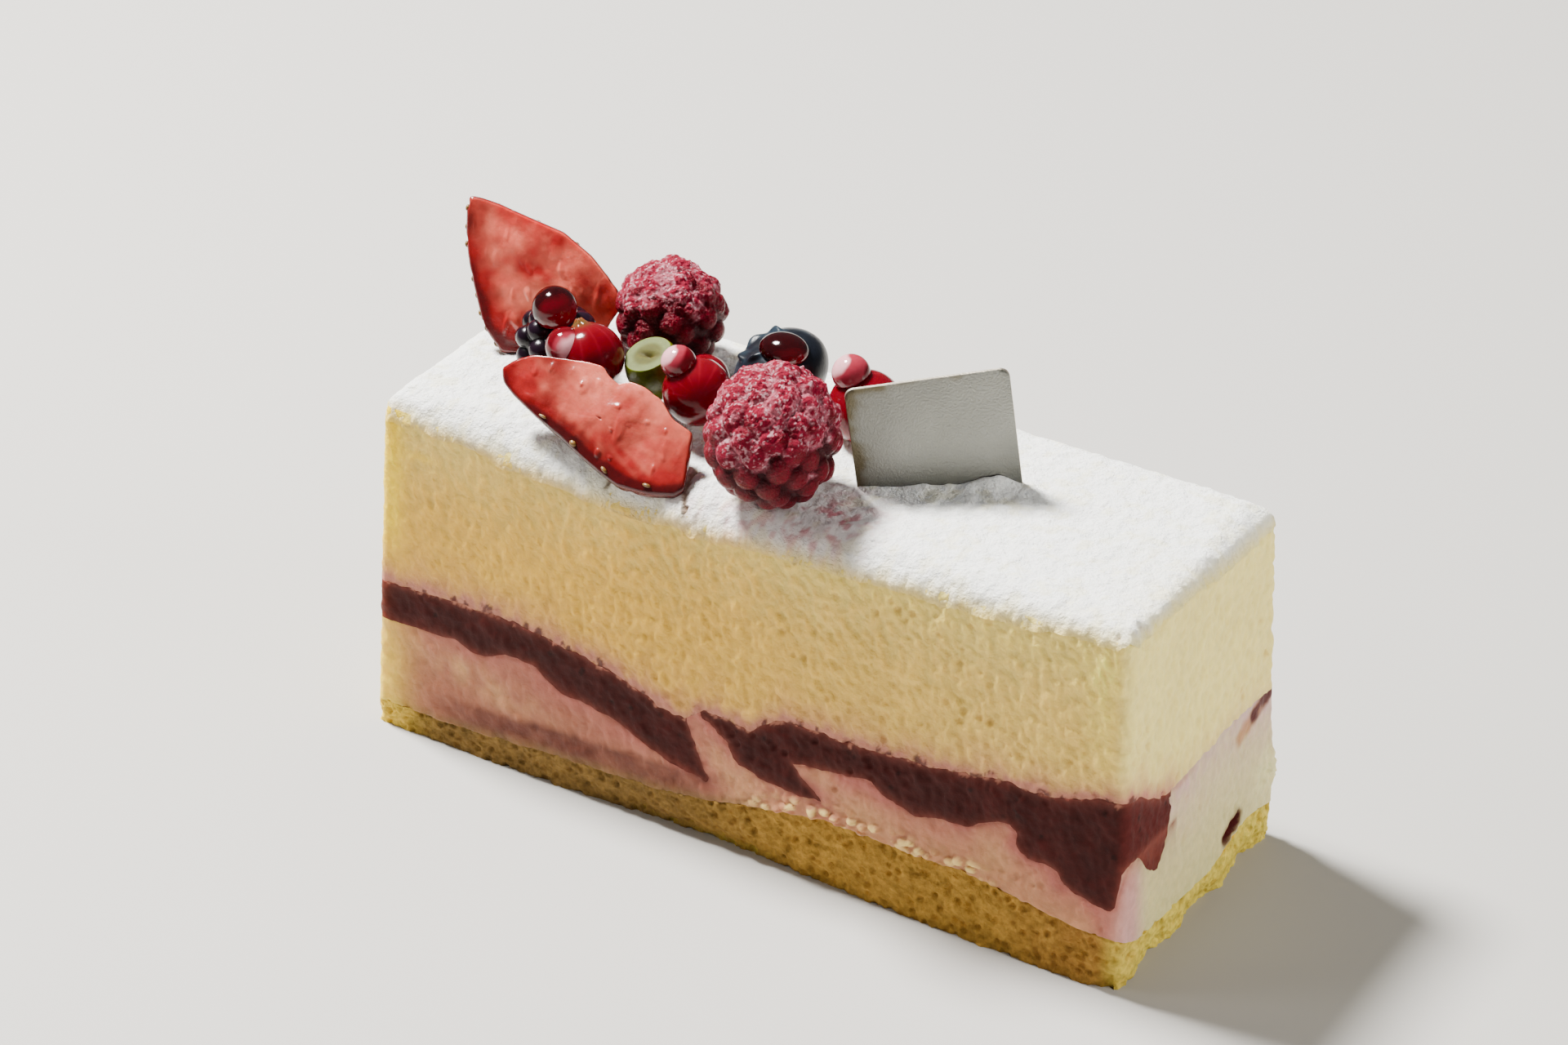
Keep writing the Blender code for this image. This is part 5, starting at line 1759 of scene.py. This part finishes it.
# %% Colour of a bead
# Painted light: pink on a bead's lit side, and a pale painted reflection.
BEAD_LIT_PINK = np.array([0.25, 0.020, 0.036])
BEAD_RED = np.array([0.085, 0.0006, 0.0035])
BEAD_DARK = np.array([0.012, 0.0005, 0.001])
BEAD_PAINTED_REFLECTION = np.array([0.62, 0.30, 0.33])
GLINT_SIDE = np.array([0.62, -0.45, -0.15])


def glaze_colour(q, pink, patch, glow, lit_from):
    """Painted light: pink past patch on the lit side with a pale painted reflection; where pink is 0,
    dark with red light past glow.
    """
    facing = q @ np.array(lit_from)
    lit = smooth(facing + 0.10 * noise(q, 0.7, 131), patch, patch + 0.22)
    # Painted reflection: a pale patch where the bead faces the light.
    painted_reflection = smooth(facing * 1.3 + 0.14 * noise(q, 0.5, 134), 0.66, 0.86)
    colour = blend(BEAD_RED + 0 * q, BEAD_LIT_PINK, lit * pink)
    colour = blend(colour, BEAD_PAINTED_REFLECTION, painted_reflection * pink)
    glint = smooth(q @ GLINT_SIDE + 0.15 * noise(q, 0.6, 137), glow, glow + 0.6)
    clear = blend(BEAD_DARK + 0 * q, BEAD_RED * 1.4, glint)
    colour = blend(colour, clear, np.full(len(q), 1.0 - pink))
    dots = smooth(0.10 - cells(q, 0.42, 133), 0.0, 0.05) * (noise(q, 0.9, 135) > 0.1)
    return blend(colour, WINE, 0.8 * dots * pink)


lit_point = np.array([[-0.57, -0.44, 0.69]])
print("a pink bead where it is lit:", glaze_colour(lit_point, 1.0, 0.0, 0.1, lit_point[0]).round(2))

# %% Beads of glaze
def bead(fruit, centre, size, host, pink=1.0, patch=0.0, glow=0.1, lit_from=(-0.45, -0.35, 0.55)):
    """A drop on a fruit; host is the fruit's centre, size and axis."""
    mesh = ball("bead_" + fruit, centre, size, stopped_by(centre, size, *host), 60, 80, seat=False)
    q = (points_of(mesh) - np.array(centre)) / np.array(size)
    paint(mesh, glaze_colour(q, pink, patch, glow, lit_from))
    show(mesh.name, mesh, glaze_finish, ["glaze_drop_" + fruit])


def on_currant(node):
    """Centre, size and axis of a redcurrant as a bead's host; a round host needs no turn."""
    centre, r = CURRANTS[node][:2]
    return centre, (r, r, r), (0, 0, 1)


bead("bramble", (-34.6, -4.5, 57.1), (2.75, 2.75, 2.75), (BRAMBLE_AT, (5.2, 5.2, 4.95), (0, 0, 1)),
     pink=0.0)
bead("left", (-29.5, -9.6, 55.7), (2.4, 2.4, 2.4), on_currant("redcurrant_left"),
     pink=0.9, patch=0.28, lit_from=(0.62, -0.40, 0.20))
bead("mid", (-15.0, -7.2, 56.8), (2.1, 2.1, 2.1), on_currant("redcurrant_mid_front"), patch=0.12)
bead("blueberry", (-6.9, 3.0, 56.3), (3.1, 2.6, 1.9), (BLUE_AT, BLUE_SIZE, BLUE_AXIS),
     pink=0.0, glow=0.35)
bead("right", (2.5, 2.85, 56.0), (2.3, 2.3, 2.3), on_currant("redcurrant_right"), patch=-0.25)

# %% [markdown]
# The plaque is a small stamped plate of silvery metal, left bare. A rounded rectangle is drawn
# in its own plane, with a thin bevel front and back. Its rings are drawn in from the edge by
# distances in mm, so that the tarnish along its edge can be painted between them.

# %% Outline and rings of the plaque
PLATE_T, BEVEL = 0.25, 0.07  # half the plate's thickness, and its bevel
PLATE_W, PLATE_TOP, PLATE_LOW, PLATE_R = 9.5, 7.3, -9.9, 1.1
PLATE_MIDDLE = np.array([0.0, -1.3, 0.0])
PLATE_REACH = np.array([9.5, 8.6, 1.0])  # from the middle to the edges


def plate_outline(w, h, low, r, n):
    """n points evenly spaced round a rounded rectangle."""
    arc = np.radians(np.arange(0, 91, 10))
    ang = np.concatenate([arc + k * np.pi / 2 for k in range(4)])
    cx = np.repeat([w - r, r - w, r - w, w - r], len(arc))
    cy = np.repeat([h - r, h - r, low + r, low + r], len(arc))
    line = np.stack([cx + r * np.cos(ang), cy + r * np.sin(ang), 0 * cx], 1)
    return evenly(np.vstack([line, line[:1]]), n)


plate_line = plate_outline(PLATE_W, PLATE_TOP, PLATE_LOW, PLATE_R, 260)
from_edge = [6.0, 4.0, 2.6, 1.6, 0.9, 0.4, BEVEL, 0.0]
insets = np.array(from_edge + from_edge[::-1])
depths = np.array([-PLATE_T] * 7 + [BEVEL - PLATE_T, PLATE_T - BEVEL] + [PLATE_T] * 7)
share = 1 - insets[:, None, None] / PLATE_REACH
share[..., 2] = 0
flat = PLATE_MIDDLE + (plate_line - PLATE_MIDDLE) * share
flat[..., 2] = depths[:, None]
print("rings of the plaque:", flat.shape)

# %% [markdown]
# The plate is stood in the sugar, facing the viewer and leaning a little to one side.
# Three unit vectors do this, and the same vectors measure where a point lies on it. Its face is
# dull in the middle and tarnished brown along the edge, more to the left.

# %% Stand the plaque up
PLAQUE_ROLL = np.radians(7.8)
METAL_FACE = np.array([0.20, 0.20, 0.18])
METAL_TARNISH = np.array([0.10, 0.080, 0.040])
METAL_EDGE = np.array([0.62, 0.56, 0.45])

wide = np.array([np.cos(PLAQUE_YAW), np.sin(PLAQUE_YAW), 0.0])
up = np.array([0.0, 0.0, 1.0])
across = np.cos(PLAQUE_ROLL) * wide + np.sin(PLAQUE_ROLL) * up
upward = -np.sin(PLAQUE_ROLL) * wide + np.cos(PLAQUE_ROLL) * up
through = np.array([-np.sin(PLAQUE_YAW), np.cos(PLAQUE_YAW), 0.0])
axes = np.stack([across, upward, through])
ends = (PLATE_MIDDLE + [[0, 0, -PLATE_T], [0, 0, PLATE_T]]) @ axes + PLAQUE_MID
plate_mesh = ring_mesh("plaque", flat @ axes + PLAQUE_MID, ends[:1], ends[1:])
p = points_of(plate_mesh)
edge = np.concatenate([np.repeat(insets, len(plate_line)), [6.0, 6.0]])
side = (p - PLAQUE_MID) @ across
tarnish = smooth(0.9 + 1.1 * rough(p, 2.2, 3, 141) - 0.12 * side - edge, 0.0, 1.6) * (edge > 0.05)
metal_tint = blend(METAL_FACE + 0 * p, METAL_TARNISH, 0.85 * tarnish)
metal_tint = metal_tint * (1 + 0.10 * rough(p, 4.0, 2, 143))[:, None]
paint(plate_mesh, np.where((edge < 0.05)[:, None], METAL_EDGE, metal_tint))
print("tarnished share of the plaque:", tarnish.mean().round(2))

# %% [markdown]
# The metal is a Principled material with Metallic at 1, so the tint is the colour of what it
# mirrors. A very fine bump, under a third of a millimetre, blurs the reflection into a satin,
# as on thin stamped metal.

# %% Metal of the plaque
metal = bpy.data.materials.new("metal")
metal.use_nodes = True
tree = metal.node_tree
metal_shader = tree.nodes["Principled BSDF"]
where = tree.nodes.new("ShaderNodeTexCoord")
tint = tree.nodes.new("ShaderNodeAttribute")
tint.attribute_name = "tint"
tree.links.new(tint.outputs["Color"], metal_shader.inputs["Base Color"])
fine = tree.nodes.new("ShaderNodeTexNoise")
fine.inputs["Scale"].default_value = 3800.0
tree.links.new(where.outputs["Object"], fine.inputs["Vector"])
bump = tree.nodes.new("ShaderNodeBump")
bump.inputs["Distance"].default_value = 0.06 * MM
tree.links.new(fine.outputs["Fac"], bump.inputs["Height"])
tree.links.new(bump.outputs["Normal"], metal_shader.inputs["Normal"])
metal_shader.inputs["Metallic"].default_value = 1.0
metal_shader.inputs["Roughness"].default_value = 0.45
show("plaque_plate", plate_mesh, metal, ["plaque"], sharp=40)

# %% [markdown]
# The stage is a pale floor, which shows the piece's outline and takes its shadow.

# %% Floor
floor_mesh = bpy.data.meshes.new("floor")
floor_mesh.from_pydata([(-3, -3, 0), (3, -3, 0), (3, 3, 0), (-3, 3, 0)], [], [(0, 1, 2, 3)])
floor = bpy.data.objects.new("floor", floor_mesh)
bpy.context.scene.collection.objects.link(floor)
pale = bpy.data.materials.new("floor")
pale.use_nodes = True
floor_shader = pale.node_tree.nodes["Principled BSDF"]
floor_shader.inputs["Base Color"].default_value = (0.44, 0.425, 0.40, 1.0)
floor_shader.inputs["Roughness"].default_value = 0.7
floor_mesh.materials.append(pale)
print("floor:", len(floor_mesh.polygons), "face")

# %% [markdown]
# The key light is high on the left, as on the real cake. A gentle fill from the right and a
# raking lamp from the front left keep the cut side readable. Those two aren't mirrored in the
# glossy fruit, because the real berries show one highlight only.

# %% Light
def lamp(name, at, towards, size, power, colour, mirrored=True):
    """Round soft light at a place, facing a point; mirrored False hides it from reflections."""
    data = bpy.data.lights.new(name, "AREA")
    data.shape = "DISK"
    data.size, data.energy, data.color = size, power, colour
    ob = bpy.data.objects.new(name, data)
    ob.location = at
    aim = np.array(towards) - np.array(at)
    ob.rotation_euler = Vector(aim).to_track_quat("-Z", "Y").to_euler()
    bpy.context.scene.collection.objects.link(ob)
    ob.visible_glossy = mirrored


lamp("key", (-0.44, 0.03, 0.78), (0, 0, 0.04), size=0.20, power=40.0, colour=(1.0, 0.985, 0.96))
lamp("fill", (0.75, 0.10, 0.35), (0, 0, 0.02), size=0.5, power=5.8, colour=(1.0, 0.99, 0.96),
     mirrored=False)
lamp("front", (-0.60, -0.42, 0.55), (0, 0, 0.03), size=0.25, power=1.7, colour=(1.0, 0.92, 0.82),
     mirrored=False)
world = bpy.data.worlds.new("room")
world.use_nodes = True
room = world.node_tree.nodes["Background"]
room.inputs["Color"].default_value = (0.92, 0.95, 1.0, 1.0)
room.inputs["Strength"].default_value = 0.16
bpy.context.scene.world = world

# %% [markdown]
# The camera stands where the picture was taken from. Its place, lens and turn were solved from
# the corners of the block. It looks back along away, and its own axes are found by two cross
# products and turned by the small roll.

# %% Camera
CAM_AT = (0.22696, -0.36571, 0.29225)
AZIMUTH, ELEVATION, ROLL = np.radians([32.37, 30.74, 0.34])

away = np.array([
    np.sin(AZIMUTH) * np.cos(ELEVATION), -np.cos(AZIMUTH) * np.cos(ELEVATION), np.sin(ELEVATION)])
right = np.cross(-away, [0, 0, 1.0])
right = right / np.linalg.norm(right)
above = np.cross(right, -away)
cam_x = np.cos(ROLL) * right + np.sin(ROLL) * above
cam_y = -np.sin(ROLL) * right + np.cos(ROLL) * above
camera = bpy.data.objects.new("camera", bpy.data.cameras.new("camera"))
camera.data.lens = 96.69
camera.data.sensor_width = 36.0
camera.data.clip_start = 0.01
camera.matrix_world = Matrix((
    (cam_x[0], cam_y[0], away[0], CAM_AT[0]), (cam_x[1], cam_y[1], away[1], CAM_AT[1]),
    (cam_x[2], cam_y[2], away[2], CAM_AT[2]), (0, 0, 0, 1)))
bpy.context.scene.collection.objects.link(camera)
bpy.context.scene.camera = camera
print("camera to the middle of the slice:", round(float(np.linalg.norm(CAM_AT)), 3), "m")
